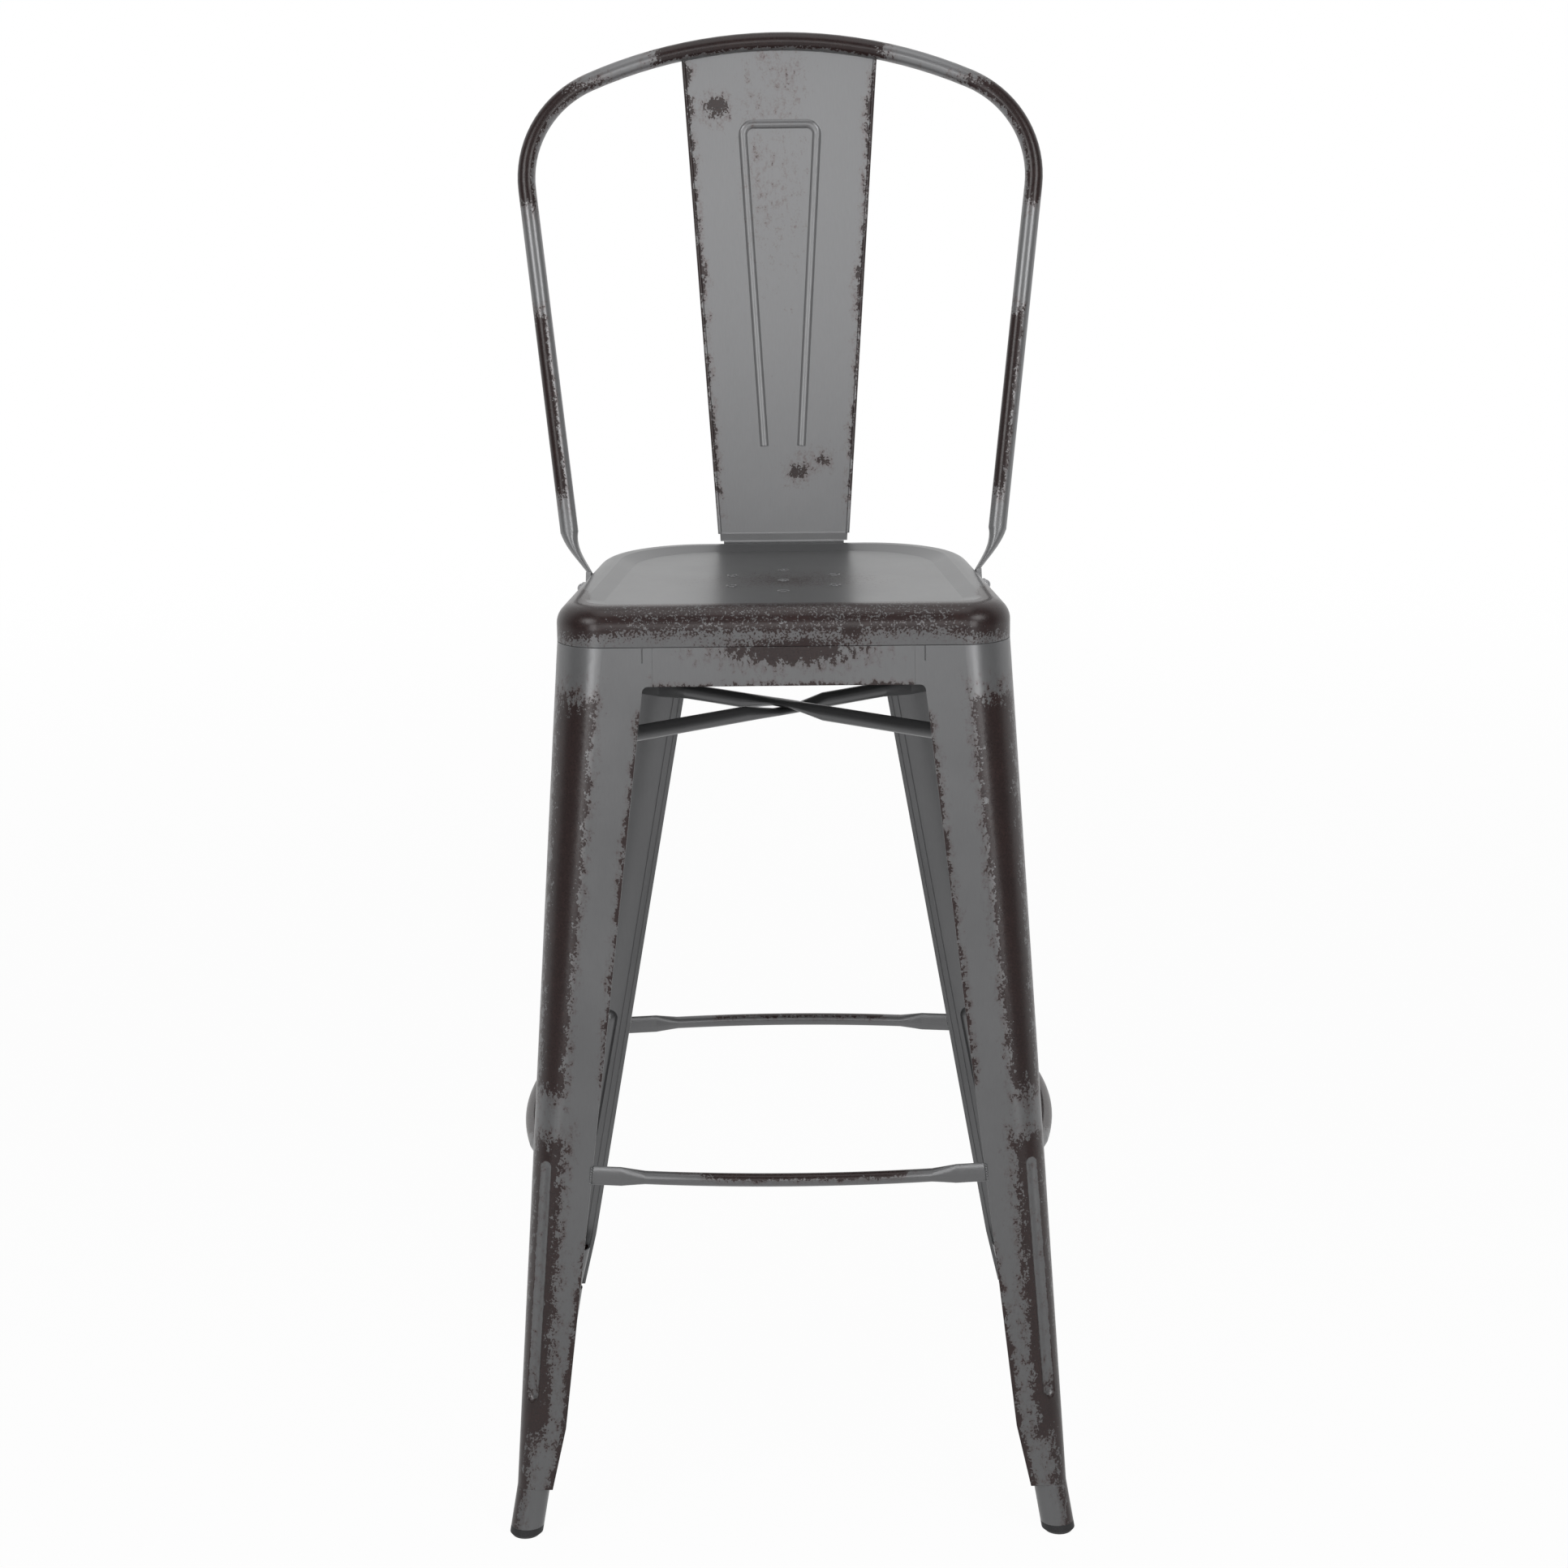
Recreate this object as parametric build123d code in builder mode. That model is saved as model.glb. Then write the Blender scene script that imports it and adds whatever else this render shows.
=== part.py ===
from build123d import *
import os
from math import cos, degrees, hypot, radians, sin, sqrt

# A bar stool of pressed sheet and bent tube. Millimetres, +Z up, front towards -Y.
# The origin is on the floor, under the middle of the stance.

# Stock
sheet = 1.4  # seat, aprons, legs and slat
tube_wall = 1.2  # rails, brace and hoop
touch = 0.05  # gap left between two faces that a weld or a bolt pulls together
slip = 0.3  # play between the seat's skirt and the tongue inside it

# Seat plan: a trapezium that narrows to the rear, with rounded corners
seat_front_half = 184.7
seat_rear_half = 152.9
seat_front_y = -146.0
seat_rear_y = 180.0
seat_front_radius = 38.0
seat_rear_radius = 92.0

# Seat section
seam_z = 726.0  # lower edge of the skirt
rim_radius = 17.0
tongue_height = 3.8  # turned-in edge of legs and aprons, inside the skirt
seam_chamfer = 0.6
tray_depth = 4.0
tray_land = 5.0  # between the rolled rim and the tray's crest
tray_slope = 13.0  # plan width of the tray's sloping wall
tray_front_radius = 22.0
tray_rear_radius = 74.0
drain_radius = 3.2
drain_ring_radius = 49.0
drain_ring_count = 6
drain_y = 0.0

# Fasteners
bolt_radius = 3.0
bolt_play = 0.2
hex_flats = 10.0
hex_height = 4.0
thread_play = 0.05
nut_dome_radius = 4.4
fastener_margin = 0.2

# Leg frame
leg_end_z = 41.0  # lower end of the folded legs
leg_end_half = 224.8
leg_end_depth = 218.5
apron_z = 695.2  # lower edge of the aprons
window_radius = 5.0
hem_width = 9.0  # edge of each opening, folded back flat on the inside
bead_width = 3.6  # the fold itself, which is left open
bead_depth = 4.4
wall_reach = 8.0  # how far a slit or a drilled hole goes through a wall
ankle_z = 92.0  # height below which the openings flare faster
front_leg_width = 73.1  # panels of the legs at the apron, seen from the front, the rear and the side
rear_leg_width = 75.9
side_leg_width_front = 68.0
side_leg_width_rear = 96.0
front_foot_width = 29.6  # the same panels at the legs' lower ends
rear_foot_width = 29.0
side_foot_width = 29.0
front_flare = 11.7  # run of each opening's sides between the ankle and the lower end
rear_flare = 11.8
side_flare = 13.0
seam_margin = 3.0  # from an opening's rounded corner to the joint between apron and leg
slit_width = 0.9
slit_depth = 12.0

# Pressed groove low on each leg's corner
groove_low_z = 121.0
groove_high_z = 309.0
groove_radius = 8.5
groove_sink = 3.4
groove_turn = 67.0  # degrees from the side panel towards the front or rear panel

# Feet
foot_radius = 13.5
foot_splay = 0.175  # outward run of the foot, in X and in Y, for each millimetre of drop
pad_height = 8.0
pad_edge = 2.5
spigot_height = 44.0
pad_spigot_height = 14.0
pad_play = 0.1
sleeve_wall = 1.6

# Foot rails
rail_radius = 5.4
rail_end_z = 302.0
rail_side_z = 297.0
rail_end_splay = 8.0  # degrees between a front or rear rail's end and the line across the opening
rail_side_splay = 11.2
rail_flat_length = 24.0
rail_neck_length = 20.0
rail_flat_half = 8.0
rail_flat_thick = 2.3  # half the thickness of the flattened end
rail_set_back = 3.6  # from the leg's outer face to the middle of the flattened end

# Cross brace
brace_z = 640.0
brace_radius = 6.5
brace_front_turn = 10.0  # degrees from the side panel to the tubes' ends, on the front legs' corners
brace_rear_turn = 28.0  # and on the rear legs' corners
brace_flat_length = 45.0
brace_neck_length = 32.0
brace_flat_half = 9.0
brace_flat_thick = 2.3
brace_pinch_half = 8.5  # half-width of the flattened crossing
brace_pinch_rise = 3.1  # half its height
brace_pinch_length = 10.0
brace_overrun = 8.0

# Back hoop, drawn in a plane that leans back from its two bolts
hoop_radius = 7.7
hoop_bolt_y = 72.0
hoop_lean = 17.6
hoop_top_z = 1194.6
hoop_end_half = 182.8  # half-width at the lower end of the round tube
hoop_end_rise = 48.6  # from the bolts to that end, along the lean
neck_low_pull = 3.0  # how far the curve below it follows the tab, and then the tube
neck_high_pull = 18.0
neck_shares = (0, 0.3, 0.55, 0.8, 1)  # places along that curve where its oval is set
hoop_side_lean = 6.72
hoop_shoulder_radius = 91.0
hoop_top_radius = 408.0
tab_length = 13.0
tab_thick = 4.4
vent_radius = 1.5

# Back slat
slat_tab_half = 53.0
slat_low_half = 56.0
slat_high_half = 82.6
slat_high_z = 1170.0  # height at which that half-width holds
slat_tab_rise = 22.0  # from the bolts to the first bend
slat_tab_drop = 7.0
slat_kick = 3.0
slat_kick_rise = 6.0
slat_bend_radius = 5.0
slat_overrun = 4.0  # how far short of the hoop's centre line the sheet stops
slat_bolt_half = 30.0
hem_radius = 1.7
rib_radius = 5.5
rib_rise = 1.5
rib_low_half = 16.3
rib_low_z = 840.0
rib_high_half = 32.6
rib_high_z = 1117.0
rib_corner = 9.0

# Heights and places that follow
bolt_z = seam_z + tongue_height + fastener_margin + hex_flats / 2
rim_z = bolt_z + hex_flats / 2 + fastener_margin + rim_radius
tab_half = bolt_z - seam_z - fastener_margin
joggle_inset = 2 * sheet + slip
front_gap_top = seat_front_half - front_leg_width
front_gap_foot = leg_end_half - front_foot_width
front_gap_ankle = front_gap_foot - front_flare
rear_gap_top = seat_rear_half - rear_leg_width
rear_gap_foot = leg_end_half - rear_foot_width
rear_gap_ankle = rear_gap_foot - rear_flare
side_gap_top_front = seat_front_y + side_leg_width_front
side_gap_top_rear = seat_rear_y - side_leg_width_rear
side_gap_foot = leg_end_depth - side_foot_width
side_gap_ankle = side_gap_foot - side_flare
reach = 2 * max(leg_end_half, leg_end_depth, seat_rear_y)
sides = {"left": -1, "right": 1}
ends = {"front": -1, "rear": 1}
parts_folder = "parts"
os.makedirs(parts_folder, exist_ok=True)


def write(part, name):
    """Label a finished piece and write its file."""
    part.label = name
    export_step(part, f"{parts_folder}/{name}.step")


def rounded_plan(front_half, rear_half, front_y, rear_y, front_radius, rear_radius, inset):
    """Plan with a straight front and rear, drawn in by inset, then rounded."""
    with BuildSketch() as plan:
        with BuildLine():
            Polyline(
                (-front_half, front_y), (front_half, front_y), (rear_half, rear_y), (-rear_half, rear_y), close=True
            )
        make_face()
        if inset > 0:
            offset(amount=-inset, kind=Kind.INTERSECTION)
        fillet(plan.vertices().group_by(Axis.Y)[0], front_radius)
        fillet(plan.vertices().group_by(Axis.Y)[-1], rear_radius)
    return plan.sketch


def seat_plan(inset=0.0, front_radius=0.0, rear_radius=0.0):
    """Seat plan drawn in by inset, its corners concentric unless radii are given."""
    return rounded_plan(
        seat_front_half,
        seat_rear_half,
        seat_front_y,
        seat_rear_y,
        front_radius or seat_front_radius - inset,
        rear_radius or seat_rear_radius - inset,
        inset,
    )


def leg_end_plan(inset=0.0):
    """Plan round the legs' lower ends, drawn in by inset."""
    corner = foot_radius - inset
    return rounded_plan(leg_end_half, leg_end_half, -leg_end_depth, leg_end_depth, corner, corner, inset)


def frame_body(inset=0.0):
    """Solid inside the leg frame's outer faces, drawn in by inset."""
    with BuildPart() as body:
        with BuildSketch(Plane.XY.offset(leg_end_z)):
            add(leg_end_plan(inset))
        with BuildSketch(Plane.XY.offset(seam_z)):
            add(seat_plan(inset))
        loft(ruled=True)
    return body.part


def frame_share(z):
    """Share of the way from the legs' lower ends to the seam."""
    return (z - leg_end_z) / (seam_z - leg_end_z)


def frame_corner(end, z):
    """Centre and outer radius of a right-hand leg's rounded corner at height z."""
    half, y, radius = seat_front_half, seat_front_y, seat_front_radius
    if end > 0:
        half, y, radius = seat_rear_half, seat_rear_y, seat_rear_radius
    side_run = (seat_front_half - seat_rear_half) / (seat_rear_y - seat_front_y)
    side_length = hypot(1, side_run)
    top_x = half - radius * (side_length + end * side_run)
    top_y = y - end * radius
    low_x = leg_end_half - foot_radius
    low_y = end * (leg_end_depth - foot_radius)
    share = frame_share(z)
    centre = (low_x + share * (top_x - low_x), low_y + share * (top_y - low_y))
    return centre, foot_radius + share * (radius - foot_radius)


def window(top_low, top_high, ankle_half, foot_half, grow=0.0):
    """Opening between two legs, carried straight on down to the floor."""
    floor_half = foot_half + (foot_half - ankle_half) * leg_end_z / (ankle_z - leg_end_z)
    with BuildSketch() as opening:
        with BuildLine():
            Polyline(
                (-floor_half, 0),
                (floor_half, 0),
                (ankle_half, ankle_z),
                (top_high, apron_z),
                (top_low, apron_z),
                (-ankle_half, ankle_z),
                close=True,
            )
        make_face()
        if grow:
            offset(amount=grow, kind=Kind.INTERSECTION)
        fillet(opening.vertices().group_by(Axis.Y)[-1], window_radius + grow)
    return opening.sketch


def window_face(name, grow=0.0):
    """Opening seen square on: front and rear ones in X and Z, side ones in Y and Z."""
    if name == "front":
        return window(-front_gap_top, front_gap_top, front_gap_ankle, front_gap_foot, grow)
    if name == "rear":
        return window(-rear_gap_top, rear_gap_top, rear_gap_ankle, rear_gap_foot, grow)
    return window(side_gap_top_front, side_gap_top_rear, side_gap_ankle, side_gap_foot, grow)


# Plane each opening is drawn on, looking square at it, with its normal pointing out of the stool
window_planes = {
    "front": (Plane.XZ, 1),
    "rear": (Plane.XZ, -1),
    "left": (Plane.YZ, -1),
    "right": (Plane.YZ, 1),
}

outer_body = frame_body()
inner_body = frame_body(sheet)
fold_body = frame_body(sheet / 2)


def edge_band(width, depth):
    """Band round the four openings, from the middle of the sheet in to a depth."""
    with BuildPart() as band:
        for name, (plane, way) in window_planes.items():
            with BuildSketch(plane):
                add(window_face(name, width))
                add(window_face(name), mode=Mode.SUBTRACT)
            extrude(amount=way * reach)
        add(fold_body, mode=Mode.INTERSECT)
        add(frame_body(depth), mode=Mode.SUBTRACT)
    return band.part


def groove_line(side, end):
    """Ends of a leg's groove, on the line where its rounded corner faces groove_turn."""
    points = []
    for z in (groove_low_z, groove_high_z):
        centre, radius = frame_corner(end, z)
        out = radius + groove_radius - groove_sink
        x = centre[0] + out * cos(radians(groove_turn))
        y = centre[1] + end * out * sin(radians(groove_turn))
        points.append(Vector(side * x, y, z))
    return points


def round_bar(low, high, radius):
    """Round bar with ball ends."""
    with BuildPart() as bar:
        with BuildSketch(Plane(origin=low, z_dir=high - low)):
            Circle(radius)
        extrude(amount=(high - low).length)
        with Locations(low, high):
            Sphere(radius)
    return bar.part


groove_lines = [groove_line(side, end) for side in sides.values() for end in ends.values()]
groove_bars = [round_bar(low, high, groove_radius) for low, high in groove_lines]
groove_backs = [round_bar(low, high, groove_radius + sheet) for low, high in groove_lines]

# Sheet behind the grooves
with BuildPart() as groove_walls:
    for back in groove_backs:
        add(back)
    add(fold_body, mode=Mode.INTERSECT)

# Leg frame: legs and aprons while still in one piece
with BuildPart() as leg_frame:
    add(outer_body)
    add(inner_body, mode=Mode.SUBTRACT)
    for name, (plane, way) in window_planes.items():
        with BuildSketch(plane):
            add(window_face(name))
        extrude(amount=way * reach, mode=Mode.SUBTRACT)
    add(edge_band(hem_width, 2 * sheet))
    add(edge_band(bead_width, bead_depth))
    add(groove_walls.part)
    for bar in groove_bars:
        add(bar, mode=Mode.SUBTRACT)
    with BuildSketch(Plane.XY.offset(seam_z - sheet)):
        add(seat_plan())
        add(seat_plan(joggle_inset), mode=Mode.SUBTRACT)
    extrude(amount=sheet)
    with BuildSketch(Plane.XY.offset(seam_z - sheet)):
        add(seat_plan(sheet + slip))
        add(seat_plan(joggle_inset), mode=Mode.SUBTRACT)
    extrude(amount=sheet + tongue_height)
    with Locations((-front_gap_top, seat_front_y, seam_z), (front_gap_top, seat_front_y, seam_z)):
        Box(slit_width, 2 * wall_reach, 2 * slit_depth, mode=Mode.SUBTRACT)

# Joints between aprons and legs, just inside the openings' rounded corners
joint_back = window_radius + seam_margin
front_joint = front_gap_top - joint_back
rear_joint = rear_gap_top - joint_back
side_joint_front = side_gap_top_front + joint_back
side_joint_rear = side_gap_top_rear - joint_back
frame_regions = {
    "apron_front": ((-front_joint, -reach), (front_joint, 0)),
    "apron_rear": ((-rear_joint, 0), (rear_joint, reach)),
    "apron_left": ((-reach, side_joint_front), (0, side_joint_rear)),
    "apron_right": ((0, side_joint_front), (reach, side_joint_rear)),
    "leg_front_left": ((-reach, -reach), (-front_joint, side_joint_front)),
    "leg_front_right": ((front_joint, -reach), (reach, side_joint_front)),
    "leg_rear_left": ((-reach, side_joint_rear), (-rear_joint, reach)),
    "leg_rear_right": ((rear_joint, side_joint_rear), (reach, reach)),
}
for name, (low, high) in frame_regions.items():
    with BuildPart() as piece:
        add(leg_frame.part)
        with Locations((low[0], low[1], 0)):
            Box(
                high[0] - low[0],
                high[1] - low[1],
                2 * seam_z,
                align=(Align.MIN, Align.MIN, Align.MIN),
                mode=Mode.INTERSECT,
            )
    write(piece.part, name)

# Line of the skirt's side, and the bolts of the hoop on it
side_slope = (seat_front_half - seat_rear_half) / (seat_rear_y - seat_front_y)
hoop_bolt_half = seat_front_half - side_slope * (hoop_bolt_y - seat_front_y)
lean_up = Vector(0, sin(radians(hoop_lean)), cos(radians(hoop_lean)))


def hoop_bolt_plane(side, x_dir=(0, 0, 1)):
    """Plane on the skirt's side at a hoop bolt, facing outwards."""
    return Plane(origin=(side * hoop_bolt_half, hoop_bolt_y, bolt_z), x_dir=x_dir, z_dir=(side, side_slope, 0))


def slat_bolt_plane(side):
    """Plane on the skirt's rear at a slat bolt, facing backwards."""
    return Plane(origin=(side * slat_bolt_half, seat_rear_y, bolt_z), x_dir=(0, 0, 1), z_dir=(0, 1, 0))


def drill(plane, radius):
    """Cut a round hole both ways along a plane's normal, through one wall only."""
    with BuildPart() as bit:
        with BuildSketch(plane):
            Circle(radius)
        extrude(amount=tab_thick + wall_reach, both=True)
    return bit.part


bolt_planes = [hoop_bolt_plane(side) for side in sides.values()]
bolt_planes += [slat_bolt_plane(side) for side in sides.values()]

# Space under the seat's sheet
tray_crest_inset = rim_radius + tray_land
tray_floor_inset = tray_crest_inset + tray_slope
with BuildPart() as seat_hollow:
    with BuildSketch(Plane.XY.offset(seam_z - sheet)):
        add(seat_plan(sheet))
    extrude(amount=rim_z - seam_z)
    fillet(seat_hollow.faces().sort_by(Axis.Z)[-1].edges(), rim_radius - sheet)
    with BuildSketch(Plane.XY.offset(rim_z - sheet)):
        add(seat_plan(tray_crest_inset, tray_front_radius, tray_rear_radius))
    with BuildSketch(Plane.XY.offset(rim_z - sheet - tray_depth)):
        add(seat_plan(tray_floor_inset, tray_front_radius, tray_rear_radius))
    loft(ruled=True, mode=Mode.SUBTRACT)

with BuildPart() as seat_pan:
    with BuildSketch(Plane.XY.offset(seam_z)):
        add(seat_plan())
    extrude(amount=rim_z - seam_z)
    fillet(seat_pan.faces().sort_by(Axis.Z)[-1].edges(), rim_radius)
    chamfer(seat_pan.faces().sort_by(Axis.Z)[0].edges(), seam_chamfer)
    with BuildSketch(Plane.XY.offset(rim_z)):
        add(seat_plan(tray_crest_inset, tray_front_radius, tray_rear_radius))
    with BuildSketch(Plane.XY.offset(rim_z - tray_depth)):
        add(seat_plan(tray_floor_inset, tray_front_radius, tray_rear_radius))
    loft(ruled=True, mode=Mode.SUBTRACT)
    add(seat_hollow.part, mode=Mode.SUBTRACT)
    with Locations((0, drain_y, rim_z)):
        Hole(drain_radius)
        with PolarLocations(drain_ring_radius, drain_ring_count, start_angle=90):
            Hole(drain_radius)
    for plane in bolt_planes:
        add(drill(plane, bolt_radius + bolt_play), mode=Mode.SUBTRACT)
write(seat_pan.part, "seat_pan")


def round_stack(*stations):
    """Ruled solid through level circles, each given by its centre and radius."""
    with BuildPart() as stack:
        for centre, radius in stations:
            with BuildSketch(Plane(origin=centre)):
                Circle(radius)
        loft(ruled=True)
    return stack.part


def foot_centre(side, end, z):
    """Centre of a splayed foot at height z, below the leg's lower end."""
    run = foot_splay * (leg_end_z - z)
    x = leg_end_half - foot_radius + run
    y = leg_end_depth - foot_radius + run
    return Vector(side * x, end * y, z)


def spigot_centre(side, end, z):
    """Centre of a sleeve's spigot at height z, inside the leg's rounded corner."""
    centre, _ = frame_corner(end, z)
    return Vector(side * centre[0], centre[1], z)


spigot_radius = foot_radius - sheet - touch
sleeve_bore = spigot_radius - sleeve_wall
spigot_top = leg_end_z + spigot_height
for end_name, end in ends.items():
    for side_name, side in sides.items():
        corner = f"{end_name}_{side_name}"
        foot_low = foot_centre(side, end, pad_height)
        foot_bend = foot_centre(side, end, leg_end_z)
        spigot_end = spigot_centre(side, end, spigot_top)
        with BuildPart() as foot_sleeve:
            add(round_stack((foot_low, foot_radius), (foot_bend, foot_radius)))
            add(round_stack((foot_bend, spigot_radius), (spigot_end, spigot_radius)))
            add(round_stack((foot_low, sleeve_bore), (foot_bend, sleeve_bore)), mode=Mode.SUBTRACT)
            add(round_stack((foot_bend, sleeve_bore), (spigot_end, sleeve_bore)), mode=Mode.SUBTRACT)
        write(foot_sleeve.part, f"foot_sleeve_{corner}")
        pad_radius = sleeve_bore - pad_play
        floor_point = foot_centre(side, end, 0)
        edge_point = foot_centre(side, end, pad_edge)
        plug_point = foot_centre(side, end, pad_height + pad_spigot_height)
        with BuildPart() as foot_pad:
            add(round_stack((floor_point, foot_radius - pad_edge), (edge_point, foot_radius)))
            add(round_stack((edge_point, foot_radius), (foot_low, foot_radius)))
            add(round_stack((foot_low, pad_radius), (plug_point, pad_radius)))
        write(foot_pad.part, f"foot_pad_{corner}")


def oval_tube(stations, ruled=True):
    """Tube through ovals, each given by its plane and its half-widths along the plane's x and y."""
    with BuildPart() as tube:
        for plane, wide, thick in stations:
            with BuildSketch(plane):
                Ellipse(wide, thick)
                Ellipse(wide - tube_wall, thick - tube_wall, mode=Mode.SUBTRACT)
        loft(ruled=ruled)
    return tube.part


def frame_wall(name, z):
    """Distance of the leg frame's outer face from the Z axis at height z, on one side."""
    share = frame_share(z)
    if name == "front":
        return leg_end_depth + share * (-seat_front_y - leg_end_depth)
    if name == "rear":
        return leg_end_depth + share * (seat_rear_y - leg_end_depth)
    return leg_end_half + share * ((seat_front_half + seat_rear_half) / 2 - leg_end_half)


def window_span(name, z):
    """Ends of an opening at height z above the ankles, along the opening."""
    share = (z - ankle_z) / (apron_z - ankle_z)
    if name == "front":
        half = front_gap_ankle + share * (front_gap_top - front_gap_ankle)
        return -half, half
    if name == "rear":
        half = rear_gap_ankle + share * (rear_gap_top - rear_gap_ankle)
        return -half, half
    low = -side_gap_ankle + share * (side_gap_top_front + side_gap_ankle)
    high = side_gap_ankle + share * (side_gap_top_rear - side_gap_ankle)
    return low, high


# Foot rails: a flattened end, a neck, a long bow, and the same again, trimmed to the legs' folded edges
rail_frames = {
    "front": (rail_end_z, rail_end_splay, Vector(1, 0, 0), Vector(0, -1, 0)),
    "rear": (rail_end_z, rail_end_splay, Vector(1, 0, 0), Vector(0, 1, 0)),
    "left": (rail_side_z, rail_side_splay, Vector(0, 1, 0), Vector(-1, 0, 0)),
    "right": (rail_side_z, rail_side_splay, Vector(0, 1, 0), Vector(1, 0, 0)),
}
for name, (z, turn, along, outward) in rail_frames.items():
    low, high = window_span(name, z)
    middle = (low + high) / 2
    half = (high - low) / 2 + rail_flat_half
    origin = along * middle + outward * (frame_wall(name, z) - rail_set_back) + Vector(0, 0, z)
    splay = radians(turn)
    straight = rail_flat_length + rail_flat_half + rail_neck_length
    bend_half = half - straight * cos(splay)
    bend_rise = straight * sin(splay)
    bend_radius = bend_half / sin(splay)
    bow = bend_rise + bend_radius * (1 - cos(splay))
    with BuildPart() as rail:
        for way in (-1, 1):
            tangent = along * (-way * cos(splay)) + outward * sin(splay)
            tip = origin + along * (way * half)
            neck = straight - rail_neck_length
            flat_end = Plane(origin=tip, x_dir=(0, 0, 1), z_dir=tangent)
            flat_start = Plane(origin=tip + tangent * neck, x_dir=(0, 0, 1), z_dir=tangent)
            round_start = Plane(origin=tip + tangent * straight, x_dir=(0, 0, 1), z_dir=tangent)
            add(oval_tube([(flat_end, rail_flat_half, rail_flat_thick), (flat_start, rail_flat_half, rail_flat_thick)]))
            add(oval_tube([(flat_start, rail_flat_half, rail_flat_thick), (round_start, rail_radius, rail_radius)]))
        with BuildLine() as bend:
            ThreePointArc(
                origin - along * bend_half + outward * bend_rise,
                origin + outward * bow,
                origin + along * bend_half + outward * bend_rise,
            )
        with BuildSketch(Plane(origin=bend.line @ 0, z_dir=bend.line % 0)):
            Circle(rail_radius)
            Circle(rail_radius - tube_wall, mode=Mode.SUBTRACT)
        sweep(path=bend.line)
        plane, way = window_planes[name]
        with BuildSketch(plane):
            add(window_face(name, -touch))
        extrude(amount=way * reach, mode=Mode.INTERSECT)
    write(rail.part, f"foot_rail_{name}")

# Cross brace: two level tubes from corner to corner, pinched one above the other where they cross
brace_room = frame_body(sheet + touch)
brace_front, brace_front_radius = frame_corner(-1, brace_z)
brace_rear, brace_rear_radius = frame_corner(1, brace_z)
front_x = brace_front[0] + brace_front_radius * cos(radians(brace_front_turn))
front_y = brace_front[1] - brace_front_radius * sin(radians(brace_front_turn))
rear_x = brace_rear[0] + brace_rear_radius * cos(radians(brace_rear_turn))
rear_y = brace_rear[1] + brace_rear_radius * sin(radians(brace_rear_turn))
crossing_y = front_y + (rear_y - front_y) * front_x / (front_x + rear_x)
for name, side, rise in (("upper", 1, 1), ("lower", -1, -1)):
    crossing = Vector(0, crossing_y, brace_z)
    forward = (Vector(side * front_x, front_y, brace_z) - crossing).normalized()
    level = forward.cross(Vector(0, 0, 1))
    pinch_shift = Vector(0, 0, rise * (brace_pinch_rise + touch))
    with BuildPart() as brace:
        for way, x, y in ((1, side * front_x, front_y), (-1, -side * rear_x, rear_y)):
            run = forward * way
            length = (Vector(x, y, brace_z) - crossing).length + brace_overrun
            pinch_end = crossing + run * brace_pinch_length
            round_from = crossing + run * (brace_pinch_length + brace_neck_length)
            round_to = crossing + run * (length - brace_overrun - brace_flat_length - brace_neck_length)
            flat_from = crossing + run * (length - brace_overrun - brace_flat_length)
            tip = crossing + run * length
            middle = Plane(origin=crossing + pinch_shift, x_dir=level, z_dir=run)
            pinch = Plane(origin=pinch_end + pinch_shift, x_dir=level, z_dir=run)
            level_round = Plane(origin=round_from, x_dir=level, z_dir=run)
            upright_round = Plane(origin=round_from, x_dir=(0, 0, 1), z_dir=run)
            neck = Plane(origin=round_to, x_dir=(0, 0, 1), z_dir=run)
            flat_start = Plane(origin=flat_from, x_dir=(0, 0, 1), z_dir=run)
            flat_end = Plane(origin=tip, x_dir=(0, 0, 1), z_dir=run)
            add(oval_tube([(middle, brace_pinch_half, brace_pinch_rise), (pinch, brace_pinch_half, brace_pinch_rise)]))
            add(oval_tube([(pinch, brace_pinch_half, brace_pinch_rise), (level_round, brace_radius, brace_radius)]))
            add(oval_tube([(upright_round, brace_radius, brace_radius), (neck, brace_radius, brace_radius)]))
            add(oval_tube([(neck, brace_radius, brace_radius), (flat_start, brace_flat_half, brace_flat_thick)]))
            add(
                oval_tube(
                    [(flat_start, brace_flat_half, brace_flat_thick), (flat_end, brace_flat_half, brace_flat_thick)]
                )
            )
        add(brace_room, mode=Mode.INTERSECT)
    write(brace.part, f"brace_tube_{name}")

# Back hoop: its centre line in the leaning plane, where v runs up the lean from the bolts
hoop_plane = Plane(
    origin=(0, hoop_bolt_y, bolt_z), x_dir=(1, 0, 0), z_dir=(0, -cos(radians(hoop_lean)), sin(radians(hoop_lean)))
)
hoop_top_v = (hoop_top_z - hoop_radius - bolt_z) / cos(radians(hoop_lean))
side_u = sin(radians(hoop_side_lean))
side_v = cos(radians(hoop_side_lean))
arch_v = hoop_top_v - hoop_top_radius
# The shoulder's centre lies one shoulder radius inside the side line and touches the top arc from inside
start_u = hoop_end_half - hoop_shoulder_radius * side_v
start_v = hoop_end_rise + hoop_shoulder_radius * side_u - arch_v
along_side = start_u * side_u + start_v * side_v
room = hoop_top_radius - hoop_shoulder_radius
side_length = -along_side + sqrt(along_side**2 - start_u**2 - start_v**2 + room**2)
shoulder_u = start_u + side_length * side_u
shoulder_v = start_v + side_length * side_v
shoulder_angle = Vector(shoulder_u, shoulder_v, 0).get_angle(Vector(1, 0, 0))
turn_low = -hoop_side_lean
turn_middle = (turn_low + shoulder_angle) / 2


def shoulder_point(turn):
    """Point on the right shoulder's arc, in the hoop's plane."""
    u = shoulder_u + hoop_shoulder_radius * cos(radians(turn))
    v = shoulder_v + arch_v + hoop_shoulder_radius * sin(radians(turn))
    return u, v


def mirrored(point):
    return -point[0], point[1]


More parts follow.
